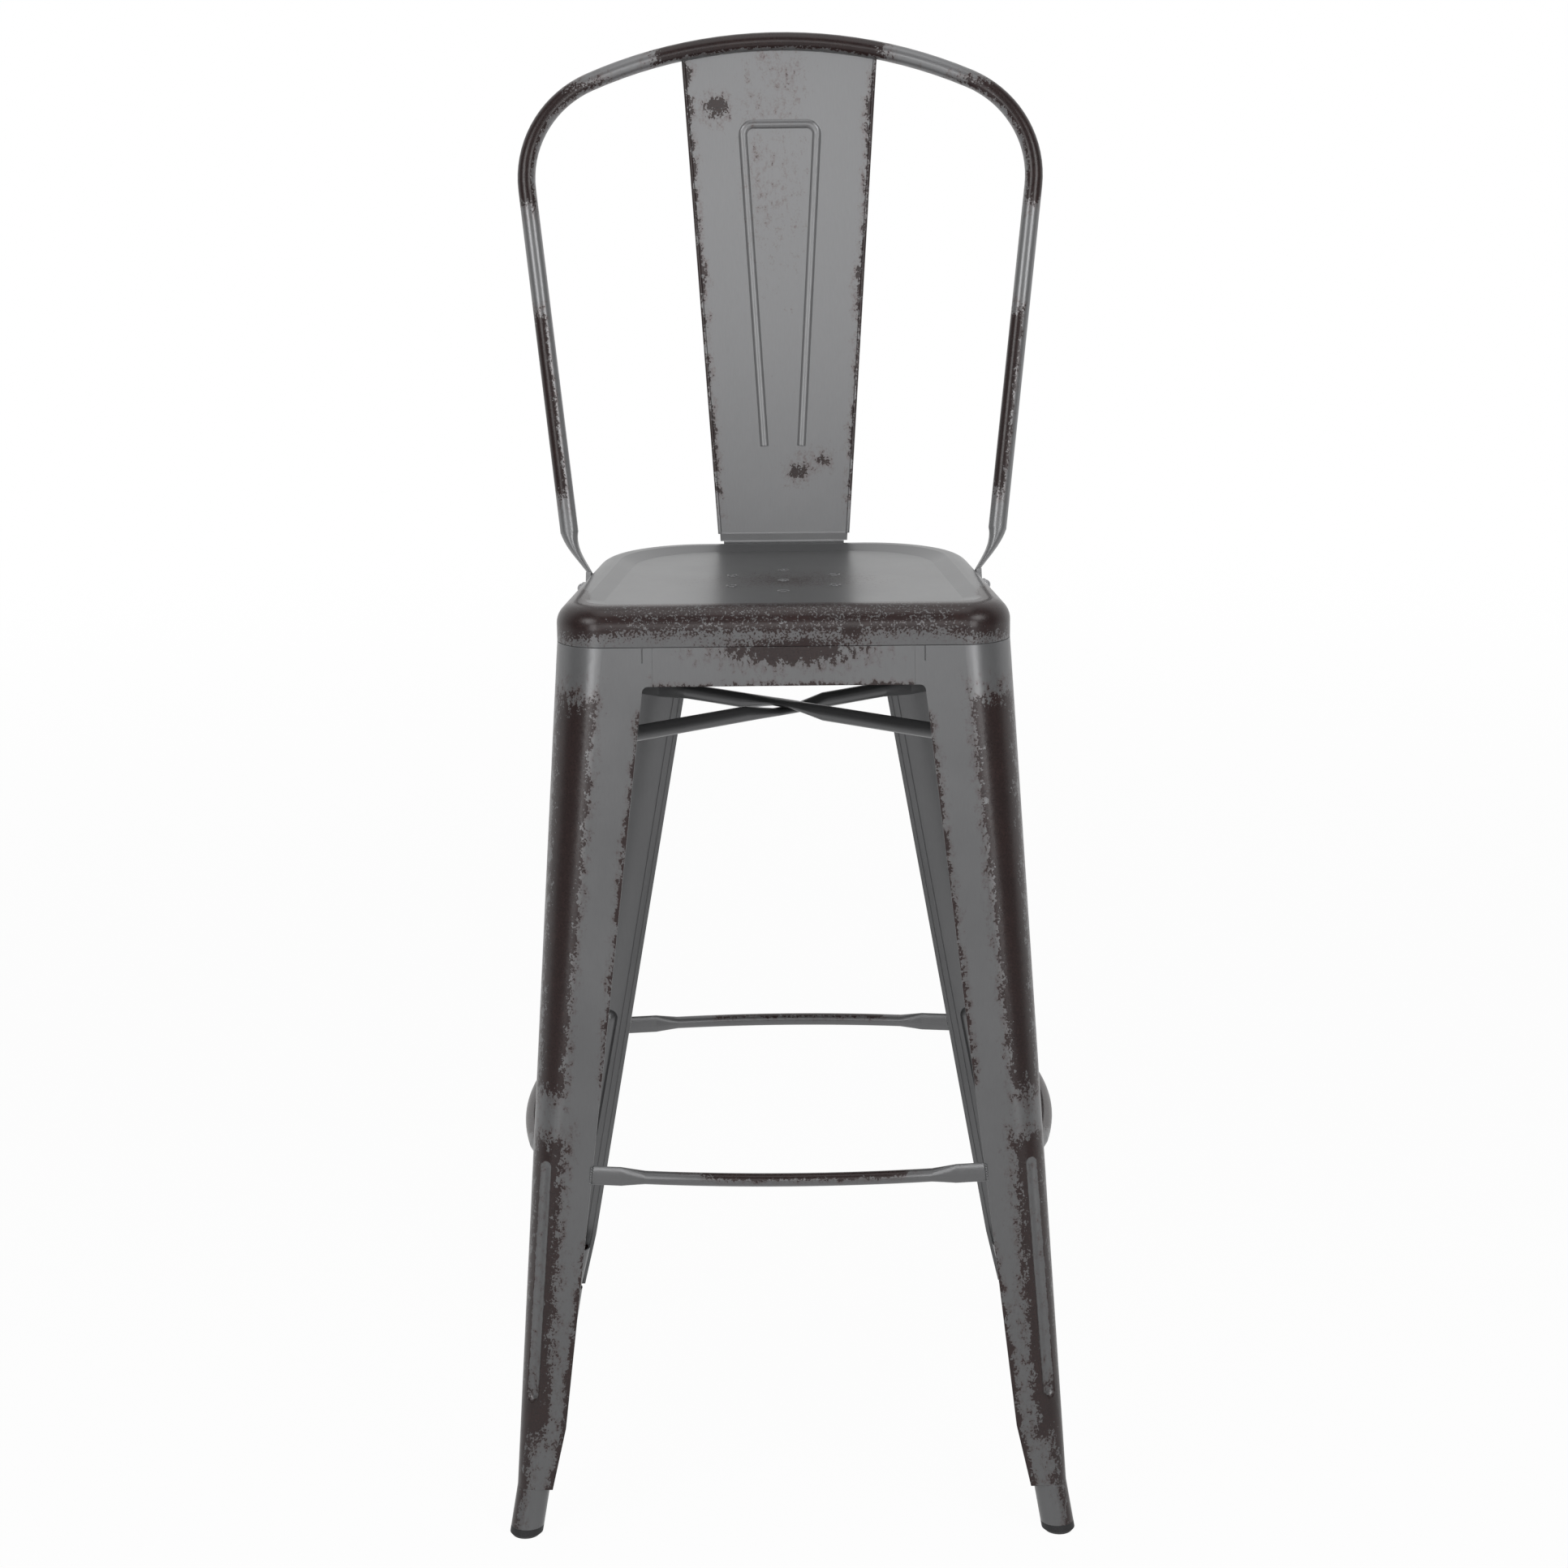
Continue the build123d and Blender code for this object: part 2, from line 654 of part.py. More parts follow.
hoop_foot = (hoop_end_half, hoop_end_rise)
shoulder_low = shoulder_point(turn_low)
shoulder_middle = shoulder_point(turn_middle)
shoulder_high = shoulder_point(shoulder_angle)


def hoop_bar(radius, bore=0.0):
    """Round bar or tube along the hoop's centre line, from one lower end to the other."""
    with BuildPart() as bar:
        with BuildLine(hoop_plane) as line:
            Line(hoop_foot, shoulder_low)
            ThreePointArc(shoulder_low, shoulder_middle, shoulder_high)
            ThreePointArc(shoulder_high, (0, hoop_top_v), mirrored(shoulder_high))
            ThreePointArc(mirrored(shoulder_high), mirrored(shoulder_middle), mirrored(shoulder_low))
            Line(mirrored(shoulder_low), mirrored(hoop_foot))
        with BuildSketch(Plane(origin=line.line @ 0, z_dir=line.line % 0)):
            Circle(radius)
            if bore:
                Circle(bore, mode=Mode.SUBTRACT)
        sweep(path=line.line)
    return bar.part


hoop_tube = hoop_bar(hoop_radius, hoop_radius - tube_wall)
hoop_clear = hoop_bar(hoop_radius + touch)

with BuildPart() as back_hoop:
    add(hoop_tube)
    for side in sides.values():
        tab_plane = hoop_bolt_plane(side, lean_up).offset(touch)
        with BuildSketch(tab_plane):
            Circle(tab_half)
            Rectangle(tab_length, 2 * tab_half, align=(Align.MIN, Align.CENTER))
        extrude(amount=tab_thick)
        tab_top = tab_plane.origin + tab_plane.x_dir * tab_length + tab_plane.z_dir * (tab_thick / 2)
        tube_end = hoop_plane.from_local_coords(Vector(side * hoop_end_half, hoop_end_rise, 0))
        tube_way = Vector(side * side_u, side_v * lean_up.Y, side_v * lean_up.Z)
        with BuildLine() as neck:
            Bezier(tab_top, tab_top + lean_up * neck_low_pull, tube_end - tube_way * neck_high_pull, tube_end)
        stations = []
        for share in neck_shares:
            plane = Plane(origin=neck.line @ share, x_dir=tab_plane.y_dir, z_dir=neck.line % share)
            wide = tab_half + share * (hoop_radius - tab_half)
            thick = tab_thick / 2 + share**2 * (hoop_radius - tab_thick / 2)
            stations.append((plane, wide, thick))
        add(oval_tube(stations, ruled=False))
        add(drill(hoop_bolt_plane(side), bolt_radius + bolt_play), mode=Mode.SUBTRACT)
        vent = Plane(origin=tube_end + tube_way * hoop_radius, x_dir=tube_way, z_dir=(0, 1, 0))
        with BuildSketch(vent):
            Circle(vent_radius)
        extrude(amount=2 * hoop_radius, mode=Mode.SUBTRACT)
write(back_hoop.part, "back_hoop")

# Back slat: a tab on the skirt, a kick to the rear, and a straight run up to the hoop
slat_y = seat_rear_y + touch + sheet / 2
slat_low_z = bolt_z + slat_tab_rise
hoop_top_y = hoop_bolt_y + hoop_top_v * lean_up.Y
slat_start = Vector(0, slat_y, bolt_z - slat_tab_drop)
slat_bend = Vector(0, slat_y, slat_low_z)
slat_foot = Vector(0, slat_y + slat_kick, slat_low_z + slat_kick_rise)
slat_aim = Vector(0, hoop_top_y, hoop_top_z - hoop_radius)
slat_way = (slat_aim - slat_foot).normalized()
slat_end = slat_aim - slat_way * slat_overrun
slat_plane = Plane(origin=slat_foot, x_dir=(1, 0, 0), z_dir=Vector(1, 0, 0).cross(slat_way))
slat_taper = (slat_high_half - slat_low_half) / (slat_high_z - slat_low_z)


def slat_half(z):
    """Half-width of the slat at height z."""
    return slat_low_half + slat_taper * (z - slat_low_z)


def slat_point(half, z):
    """Point of the slat's straight run, in the slat's own plane."""
    return half, (z - slat_foot.Z) / slat_way.Z


rib_points = [
    slat_point(-rib_low_half, rib_low_z),
    slat_point(-rib_high_half, rib_high_z),
    slat_point(rib_high_half, rib_high_z),
    slat_point(rib_low_half, rib_low_z),
]


def rib_bar(radius):
    """Round bar along the slat's rib, its centre behind the sheet."""
    with BuildPart() as bar:
        with BuildLine(slat_plane.offset(sheet / 2 + rib_rise - rib_radius)) as line:
            FilletPolyline(*rib_points, radius=rib_corner)
        with BuildSketch(Plane(origin=line.line @ 0, z_dir=line.line % 0)):
            Circle(radius)
        sweep(path=line.line)
    return bar.part


rib_core = rib_bar(rib_radius - sheet)
with BuildPart() as rib_skin:
    add(rib_bar(rib_radius))
    with BuildSketch(slat_plane):
        Rectangle(reach, 2 * (hoop_top_z - bolt_z))
    extrude(amount=reach, mode=Mode.INTERSECT)

with BuildPart() as back_slat:
    with BuildLine() as slat_line:
        FilletPolyline(slat_start, slat_bend, slat_foot, slat_end, radius=slat_bend_radius)
    with BuildSketch(Plane(origin=slat_start, x_dir=(1, 0, 0), z_dir=(0, 0, 1))):
        Rectangle(reach, sheet)
    sweep(path=slat_line.line)
    with BuildSketch(Plane.XZ):
        with BuildLine():
            Polyline(
                (slat_tab_half, 0),
                (slat_tab_half, slat_low_z),
                (slat_low_half, slat_low_z),
                (slat_half(hoop_top_z), hoop_top_z),
                (-slat_half(hoop_top_z), hoop_top_z),
                (-slat_low_half, slat_low_z),
                (-slat_tab_half, slat_low_z),
                (-slat_tab_half, 0),
                close=True,
            )
        make_face()
    extrude(amount=reach, both=True, mode=Mode.INTERSECT)
    add(rib_skin.part)
    add(rib_core, mode=Mode.SUBTRACT)
    for side in sides.values():
        low = slat_plane.from_local_coords(Vector(*slat_point(side * slat_half(slat_foot.Z), slat_foot.Z)))
        high = slat_plane.from_local_coords(Vector(*slat_point(side * slat_half(slat_end.Z), slat_end.Z)))
        with BuildSketch(Plane(origin=low, z_dir=high - low)):
            Circle(hem_radius)
        extrude(amount=(high - low).length)
        add(drill(slat_bolt_plane(side), bolt_radius + bolt_play), mode=Mode.SUBTRACT)
    add(hoop_clear, mode=Mode.SUBTRACT)
write(back_slat.part, "back_slat")


def hex_block(plane, start, height):
    """Hexagon with two level flats, from start along the plane's normal."""
    with BuildPart() as block:
        with BuildSketch(plane.offset(start)):
            RegularPolygon(hex_flats / 2, 6, major_radius=False, rotation=30)
        extrude(amount=height)
    return block.part


def shank(plane, start, length, radius=bolt_radius):
    """Round shank from start along the plane's normal."""
    with BuildPart() as rod:
        with BuildSketch(plane.offset(start)):
            Circle(radius)
        extrude(amount=length)
    return rod.part


# Hoop bolts, with their heads inside the skirt and domed nuts outside the hoop's ends
grip = tab_thick + touch
with BuildPart() as hoop_bolts:
    for side in sides.values():
        plane = hoop_bolt_plane(side)
        add(hex_block(plane, -sheet - hex_height, hex_height))
        add(shank(plane, -sheet, sheet + grip + hex_height))
write(hoop_bolts.part, "hoop_bolts")

with BuildPart() as hoop_nuts:
    for side in sides.values():
        plane = hoop_bolt_plane(side)
        add(hex_block(plane, grip, hex_height))
        with Locations(plane.offset(grip + hex_height)):
            Sphere(nut_dome_radius)
        add(shank(plane, grip - 2 * nut_dome_radius, 2 * nut_dome_radius, 2 * hex_flats), mode=Mode.SUBTRACT)
        add(shank(plane, grip, hex_height, bolt_radius + thread_play), mode=Mode.SUBTRACT)
write(hoop_nuts.part, "hoop_nuts")

# Slat bolts, with their heads behind the slat and plain nuts inside the skirt
slat_grip = sheet + touch
with BuildPart() as slat_bolts:
    for side in sides.values():
        plane = slat_bolt_plane(side)
        add(hex_block(plane, slat_grip, hex_height))
        add(shank(plane, -sheet - hex_height, sheet + hex_height + slat_grip))
write(slat_bolts.part, "slat_bolts")

with BuildPart() as slat_nuts:
    for side in sides.values():
        plane = slat_bolt_plane(side)
        add(hex_block(plane, -sheet - hex_height, hex_height))
        add(shank(plane, -sheet - hex_height, hex_height, bolt_radius + thread_play), mode=Mode.SUBTRACT)
write(slat_nuts.part, "slat_nuts")

print(f"seat rim at {rim_z:.1f}, bolts at {bolt_z:.1f}, hoop top at y {hoop_top_y:.1f}")
print(f"side slope {degrees(side_slope):.2f} degrees, shoulder ends at {shoulder_angle:.1f} degrees")
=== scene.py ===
"""A bar stool of pressed steel in rubbed silver-grey paint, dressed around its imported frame."""

from math import cos, pi, radians, sin

import bpy
from mathutils import Matrix, Vector


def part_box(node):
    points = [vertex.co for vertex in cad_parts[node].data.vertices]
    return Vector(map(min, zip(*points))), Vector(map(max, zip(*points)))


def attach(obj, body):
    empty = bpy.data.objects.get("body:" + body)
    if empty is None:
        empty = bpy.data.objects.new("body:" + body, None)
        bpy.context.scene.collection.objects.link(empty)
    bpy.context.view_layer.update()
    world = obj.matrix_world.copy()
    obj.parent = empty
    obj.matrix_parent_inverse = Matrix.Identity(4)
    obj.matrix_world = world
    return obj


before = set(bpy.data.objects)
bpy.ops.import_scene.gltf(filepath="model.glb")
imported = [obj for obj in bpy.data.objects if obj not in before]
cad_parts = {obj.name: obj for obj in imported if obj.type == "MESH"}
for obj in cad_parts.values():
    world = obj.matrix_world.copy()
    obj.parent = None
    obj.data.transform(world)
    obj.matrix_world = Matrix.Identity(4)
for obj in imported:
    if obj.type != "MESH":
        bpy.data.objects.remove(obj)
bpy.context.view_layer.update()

bl_info = {
    "name": "Rubbed Steel Stool",
    "version": (1, 0, 0),
    "blender": (4, 5, 0),
    "location": "3D View > Sidebar > Stool",
    "description": "Finishes, welds and studio of a pressed steel bar stool",
    "category": "Object",
}

BODY = "root"
MILLI = 0.001
MILLIMETRES = 1000.0  # to the metre
IMAGE_SIZE = 1932  # pixels along each side of the photograph
SENSOR = 36.0  # millimetres

ENDS = ("front", "rear")
CORNERS = [f"{end}_{side}" for end in ENDS for side in ("left", "right")]
SIDES = ("front", "rear", "left", "right")

# Sizes of the surface detail, in metres
EDGE_ROUNDING = 0.0007  # how far the light rolls round an edge of sheet
PAINT_STEP = 0.0004  # height of the flaked paint's edge
GRAIN_STEP = 0.0003  # height of the grain on rubber and zinc

# Places and counts of the welds and drain lips, in metres and radians
RAIL_RIPPLES = 7  # in one bead
SLAT_RIPPLES = 6
SLAT_WELD_X = (-0.066, -0.024, 0.024, 0.066)
RAIL_LEAN = {"front": 0.119, "rear": 0.177}  # of the leg's folded edge that the rail's end is welded to
SIDE_RAIL_LEAN = (-0.163, 0.153)  # at its front and rear end
DRAIN_COUNT = 6  # in the ring round the middle hole
LIP_FLATTENING = 0.8  # height of a lip over its width

# Floor and room of the studio
FLOOR_SIZE = 800.0  # metres
VIEW_END = 2000.0  # metres
FLOOR_FAR = (1200.0, 5000.0)  # millimetres from the stool, over which the floor turns white
FLOOR_NEAR_GLOW = 0.965  # share of white near the stool; the rest takes its shadow
FLOOR_FRONT_Y = (-1200.0, 200.0)  # millimetres, from the room's dim front to its pale back
FLOOR_MIRRORED = 0.9  # how white the floor's back is in the paint
ROOM_FRONT_TURN = (-0.2, 0.5)  # the same change round the room, as the Y of the view


class PaintSettings(bpy.types.PropertyGroup):
    """Colours and surface of the paint and of what shows where it is rubbed away."""

    paint: bpy.props.FloatVectorProperty(
        name="Paint",
        description="Silver-grey top coat",
        subtype="COLOR",
        size=3,
        default=(0.155, 0.156, 0.159),
    )
    thin_paint: bpy.props.FloatVectorProperty(
        name="Thin paint",
        description="Top coat rubbed thin",
        subtype="COLOR",
        size=3,
        default=(0.094, 0.066, 0.062),
    )
    undercoat: bpy.props.FloatVectorProperty(
        name="Undercoat",
        description="Dark brown below",
        subtype="COLOR",
        size=3,
        default=(0.0120, 0.0040, 0.0037),
    )
    undercoat_pale: bpy.props.FloatVectorProperty(
        name="Dusty undercoat",
        description="Brown where it is dry",
        subtype="COLOR",
        size=3,
        default=(0.034, 0.0130, 0.0112),
    )
    silver: bpy.props.FloatProperty(
        name="Silver",
        description="Share of metal flake in the paint",
        subtype="FACTOR",
        default=0.6,
        min=0.0,
        max=1.0,
    )
    gloss: bpy.props.FloatProperty(
        name="Paint roughness",
        description="Roughness of sound paint",
        subtype="FACTOR",
        default=0.33,
        min=0.0,
        max=1.0,
    )
    worn_gloss: bpy.props.FloatProperty(
        name="Worn roughness",
        description="Roughness of undercoat",
        subtype="FACTOR",
        default=0.3,
        min=0.0,
        max=1.0,
    )
    zinc: bpy.props.FloatVectorProperty(
        name="Zinc",
        description="Plating on bolts and nuts",
        subtype="COLOR",
        size=3,
        default=(0.36, 0.36, 0.37),
    )
    rubber: bpy.props.FloatVectorProperty(
        name="Rubber",
        description="Foot pads",
        subtype="COLOR",
        size=3,
        default=(0.011, 0.011, 0.012),
    )


class WeldSettings(bpy.types.PropertyGroup):
    """Sizes of the weld beads and of the pressed lips round the drain holes."""

    bead_radius: bpy.props.FloatProperty(
        name="Bead radius",
        description="Half the width of a weld bead",
        unit="LENGTH",
        default=0.0012,
    )
    ripple: bpy.props.FloatProperty(
        name="Ripple",
        description="Spacing of the ripples along a bead",
        unit="LENGTH",
        default=0.0022,
    )
    drain_radius: bpy.props.FloatProperty(
        name="Drain radius",
        description="Radius of a drain hole",
        unit="LENGTH",
        default=0.0032,
    )
    drain_ring: bpy.props.FloatProperty(
        name="Drain ring",
        description="Radius of the ring of drain holes",
        unit="LENGTH",
        default=0.049,
    )
    drain_lip: bpy.props.FloatProperty(
        name="Drain lip",
        description="Width of the lip round a drain hole",
        unit="LENGTH",
        default=0.0022,
    )
    tray_depth: bpy.props.FloatProperty(
        name="Tray depth",
        description="From the seat's rim down to its floor",
        unit="LENGTH",
        default=0.004,
    )
    rail_flat: bpy.props.FloatProperty(
        name="Rail flat",
        description="Thickness of a foot rail's flattened end",
        unit="LENGTH",
        default=0.0046,
    )
    hoop_radius: bpy.props.FloatProperty(
        name="Hoop radius",
        description="Half the thickness of the hoop's tube",
        unit="LENGTH",
        default=0.0077,
    )
    hoop_arch: bpy.props.FloatProperty(
        name="Hoop arch",
        description="Radius of the hoop's top",
        unit="LENGTH",
        default=0.408,
    )
    hoop_lean: bpy.props.FloatProperty(
        name="Hoop lean",
        description="How far the hoop leans back",
        subtype="ANGLE",
        default=radians(17.6),
    )


class StageSettings(bpy.types.PropertyGroup):
    """Camera and light of the studio."""

    camera_place: bpy.props.FloatVectorProperty(
        name="Camera",
        description="Place of the camera",
        subtype="XYZ",
        unit="LENGTH",
        size=3,
        default=(0.010, -2.6, 1.213),
    )
    camera_pitch: bpy.props.FloatProperty(
        name="Pitch",
        description="How far the camera looks down",
        subtype="ANGLE",
        default=radians(13.7),
    )
    camera_yaw: bpy.props.FloatProperty(
        name="Yaw",
        description="How far the camera looks to its right",
        subtype="ANGLE",
        default=radians(-0.25),
    )
    camera_roll: bpy.props.FloatProperty(
        name="Roll",
        description="Turn of the camera about its view",
        subtype="ANGLE",
        default=radians(-0.6),
    )
    focal_pixels: bpy.props.FloatProperty(
        name="Focal length",
        description="In pixels of the photograph",
        subtype="PIXEL",
        default=3912.0,
    )
    room_light: bpy.props.FloatProperty(
        name="Room light",
        description="Strength of the room's own light",
        subtype="FACTOR",
        default=0.2,
    )
    room_front: bpy.props.FloatProperty(
        name="Room front",
        description="Brightness of the room behind the camera, as it is mirrored",
        subtype="FACTOR",
        default=0.25,
    )
    high_power: bpy.props.FloatProperty(
        name="High boxes",
        description="Power of each high box",
        unit="POWER",
        default=21.0,
    )
    low_power: bpy.props.FloatProperty(
        name="Low strips",
        description="Power of each low strip",
        unit="POWER",
        default=10.5,
    )
    front_power: bpy.props.FloatProperty(
        name="Front box",
        description="Power of the front box",
        unit="POWER",
        default=8.5,
    )
    top_power: bpy.props.FloatProperty(
        name="Top box",
        description="Power of the top box",
        unit="POWER",
        default=8.0,
    )
    floor: bpy.props.FloatVectorProperty(
        name="Floor",
        description="Pale floor",
        subtype="COLOR",
        size=3,
        default=(0.80, 0.80, 0.80),
    )


class Field:
    """A value that changes over a surface: a formula written out as shader nodes."""

    def __init__(self, tree, socket):
        self.tree = tree
        self.socket = socket

    def math(self, operation, *others):
        node = self.tree.nodes.new("ShaderNodeMath")
        node.operation = operation
        self.tree.links.new(self.socket, node.inputs[0])
        for place, other in enumerate(others, start=1):
            if isinstance(other, Field):
                self.tree.links.new(other.socket, node.inputs[place])
            else:
                node.inputs[place].default_value = other
        return Field(self.tree, node.outputs[0])

    def __add__(self, other):
        return self.math("ADD", other)

    def __sub__(self, other):
        return self.math("SUBTRACT", other)

    def __mul__(self, other):
        return self.math("MULTIPLY", other)

    def __neg__(self):
        return self * -1.0

    def __abs__(self):
        return self.math("ABSOLUTE")

    def least(self, *others):
        """The lower of this and the others."""
        result = self
        for other in others:
            result = result.math("MINIMUM", other)
        return result

    def most(self, *others):
        """The higher of this and the others."""
        result = self
        for other in others:
            result = result.math("MAXIMUM", other)
        return result

    def root(self):
        return self.math("SQRT")

    def sign(self):
        return self.math("SIGN")

    def band(self, low, high):
        """How far inside the range from low to high this lies."""
        return (self - low).least(-self + high)

    def ramp(self, start, end, low=0.0, high=1.0):
        """Smooth change from low to high as this goes from start to end."""
        node = self.tree.nodes.new("ShaderNodeMapRange")
        node.interpolation_type = "SMOOTHSTEP"
        self.tree.links.new(self.socket, node.inputs["Value"])
        for name, value in (("From Min", start), ("From Max", end), ("To Min", low), ("To Max", high)):
            node.inputs[name].default_value = value
        return Field(self.tree, node.outputs["Result"])

    def line(self, start, end, low, high):
        """Straight line, carried on both ways, that is low at start and high at end."""
        slope = (high - low) / (end - start)
        return self * slope + (low - start * slope)


class Surface:
    """Place and facing of a point on a piece, in millimetres and in the frame's axes."""

    def __init__(self, tree):
        self.tree = tree
        coordinates = tree.nodes.new("ShaderNodeTexCoord")
        self.place = coordinates.outputs["Object"]
        self.x, self.y, self.z = (part * MILLIMETRES for part in self.split(self.place))
        self.facing_x, self.facing_y, self.facing_z = self.split(coordinates.outputs["Normal"])
        self.across = abs(self.x)
        self.facing_across = self.facing_x * self.x.sign()

    def split(self, socket):
        node = self.tree.nodes.new("ShaderNodeSeparateXYZ")
        self.tree.links.new(socket, node.inputs[0])
        return [Field(self.tree, output) for output in node.outputs]

    def noise(self, scale, detail=3.0, roughness=0.55, stretch=(1.0, 1.0, 1.0), distortion=0.0, seed=0.0):
        """Noise from -1 to 1, with scale features to the metre."""
        mapping = self.tree.nodes.new("ShaderNodeMapping")
        mapping.inputs["Scale"].default_value = stretch
        mapping.inputs["Location"].default_value = (seed, seed, seed)
        node = self.tree.nodes.new("ShaderNodeTexNoise")
        node.inputs["Scale"].default_value = scale
        node.inputs["Detail"].default_value = detail
        node.inputs["Roughness"].default_value = roughness
        node.inputs["Distortion"].default_value = distortion
        self.tree.links.new(self.place, mapping.inputs["Vector"])
        self.tree.links.new(mapping.outputs["Vector"], node.inputs["Vector"])
        return Field(self.tree, node.outputs["Fac"]) * 2.0 - 1.0

    def spot(self, x, y, z, radius):
        """Millimetres inside a ball."""
        dx, dy, dz = self.x - x, self.y - y, self.z - z
        return -(dx * dx + dy * dy + dz * dz).root() + radius


def mixed(tree, share, first, second):
    """Colour that goes from first to second; each is a colour or a socket."""
    node = tree.nodes.new("ShaderNodeMix")
    node.data_type = "RGBA"
    tree.links.new(share.socket, node.inputs["Factor"])
    for name, colour in (("A", first), ("B", second)):
        socket = next(s for s in node.inputs if s.name == name and s.type == "RGBA")
        if isinstance(colour, bpy.types.NodeSocket):
            tree.links.new(colour, socket)
        else:
            socket.default_value = (*colour, 1.0)
    return next(s for s in node.outputs if s.type == "RGBA")


PAINT_INPUTS = (
    ("Wear", -100.0, "Millimetres inside the worn place"),
    ("Ragged", 8.0, "Millimetres by which the worn edge wanders"),
    ("Chips", 6.0, "Millimetres by which flakes break the edge"),
    ("Specks", 5.0, "Millimetres by which fine specks break the edge"),
    # A piece's paleness also paints light and shade: the brace darker for its shade under the seat, the back
    # paler for its light and highlight
    ("Tone and painted light", 1.0, "How pale the paint of this piece is"),
)
PAINT_OUTPUTS = (
    ("Color", "NodeSocketColor"),
    ("Metallic", "NodeSocketFloat"),
    ("Roughness", "NodeSocketFloat"),
    ("Height", "NodeSocketFloat"),
)
FINE_GAIN = 1.6  # fine noise seldom comes near its limits, so it is made stronger
PAINTED_SHADE_TOP = 550.0  # millimetres above the floor, where the painted shade ends
PAINTED_SHADE_AT_FLOOR = 0.84  # of the paint's brightness at the floor, painted darker there as shade where less light falls


def paint_group():
    """Shader group: rubbed paint over a dark undercoat, from how far inside a worn place a point lies."""
    name = "Rubbed paint"
    if name in bpy.data.node_groups:
        return bpy.data.node_groups[name]
    colours = bpy.context.scene.stool_paint
    tree = bpy.data.node_groups.new(name, "ShaderNodeTree")
    for label, value, description in PAINT_INPUTS:
        socket = tree.interface.new_socket(label, in_out="INPUT", socket_type="NodeSocketFloat")
        socket.description = description
        socket.default_value = value
    for label, kind in PAINT_OUTPUTS:
        tree.interface.new_socket(label, in_out="OUTPUT", socket_type=kind)
    inputs = tree.nodes.new("NodeGroupInput")
    outputs = tree.nodes.new("NodeGroupOutput")
    wear, ragged, chips, specks, tone_and_painted_light = (Field(tree, inputs.outputs[item[0]]) for item in PAINT_INPUTS)

    surface = Surface(tree)
    wander = surface.noise(scale=42.0, detail=5.0, roughness=0.6, distortion=0.3)
    flakes = surface.noise(scale=190.0, detail=4.0, roughness=0.68, stretch=(1.0, 1.0, 0.6), seed=3.1)
    dots = surface.noise(scale=560.0, detail=3.0, roughness=0.62, seed=7.7)
    mottle = surface.noise(scale=14.0, detail=4.0, roughness=0.6, seed=1.3)
    grain = surface.noise(scale=900.0, detail=2.0, stretch=(1.0, 1.0, 0.12), seed=5.0)

    # Sound paint, then thin paint, then bare undercoat, as the worn edge is crossed
    edge = wear + ragged * wander + chips * flakes * FINE_GAIN + specks * dots * FINE_GAIN
    bare = edge.ramp(-0.35, 0.45)
    thin = edge.ramp(-5.0, 0.5) * flakes.ramp(-0.5, 0.6)

    # Painted shade: the paint grows darker towards the floor, where less light falls
    painted_floor_shade = surface.z.ramp(0.0, PAINTED_SHADE_TOP, PAINTED_SHADE_AT_FLOOR, 1.0)
    # Painted light and shade also come in through the piece's paleness, beside the paint's own mottle and
    # grain
    shade = (mottle * 0.08 + grain * 0.05 + 1.0) * tone_and_painted_light * painted_floor_shade
    paint = mixed(tree, thin * 0.75, tuple(colours.paint), tuple(colours.thin_paint))
    shaded = tree.nodes.new("ShaderNodeVectorMath")
    shaded.operation = "SCALE"
    tree.links.new(paint, shaded.inputs[0])
    tree.links.new(shade.socket, shaded.inputs["Scale"])
    dust = (wander * 0.4 + dots * 0.7).ramp(-0.2, 0.9)
    brown = mixed(tree, dust, tuple(colours.undercoat), tuple(colours.undercoat_pale))
    colour = mixed(tree, bare, shaded.outputs[0], brown)

    sound = mottle * 0.05 + grain * 0.03 + colours.gloss
    worn = dots * 0.10 + colours.worn_gloss
    roughness = sound + (worn - sound) * bare
    metallic = -bare * colours.silver + colours.silver
    height = grain * 0.012 + mottle * 0.03 - bare * 0.5 + dots * bare * 0.2
    tree.links.new(colour, outputs.inputs["Color"])
    tree.links.new(metallic.socket, outputs.inputs["Metallic"])
    tree.links.new(roughness.socket, outputs.inputs["Roughness"])
    tree.links.new(height.socket, outputs.inputs["Height"])
    return tree


def new_material(name, bump_strength, bump_step):
    """Material with a bump on its shader; gives the material, its tree, shader and bump."""
    material = bpy.data.materials.new(name)
    material.use_nodes = True
    tree = material.node_tree
    shader = tree.nodes["Principled BSDF"]
    bump = tree.nodes.new("ShaderNodeBump")
    bump.inputs["Strength"].default_value = bump_strength
    bump.inputs["Distance"].default_value = bump_step
    tree.links.new(bump.outputs["Normal"], shader.inputs["Normal"])
    return material, tree, shader, bump


def painted(name, wear, ragged, chips, specks, tone_and_painted_light=1.0):
    """Material of rubbed paint; wear is a function from the surface to a field in millimetres."""
    material, tree, shader, bump = new_material(name, bump_strength=0.35, bump_step=PAINT_STEP)
    group = tree.nodes.new("ShaderNodeGroup")
    group.node_tree = paint_group()
    group.inputs["Ragged"].default_value = ragged
    group.inputs["Chips"].default_value = chips
    group.inputs["Specks"].default_value = specks
    group.inputs["Tone and painted light"].default_value = tone_and_painted_light
    tree.links.new(wear(Surface(tree)).socket, group.inputs["Wear"])
    edges = tree.nodes.new("ShaderNodeBevel")
    edges.inputs["Radius"].default_value = EDGE_ROUNDING
    tree.links.new(edges.outputs["Normal"], bump.inputs["Normal"])
    tree.links.new(group.outputs["Color"], shader.inputs["Base Color"])
    tree.links.new(group.outputs["Metallic"], shader.inputs["Metallic"])
    tree.links.new(group.outputs["Roughness"], shader.inputs["Roughness"])
    tree.links.new(group.outputs["Height"], bump.inputs["Height"])
    return material


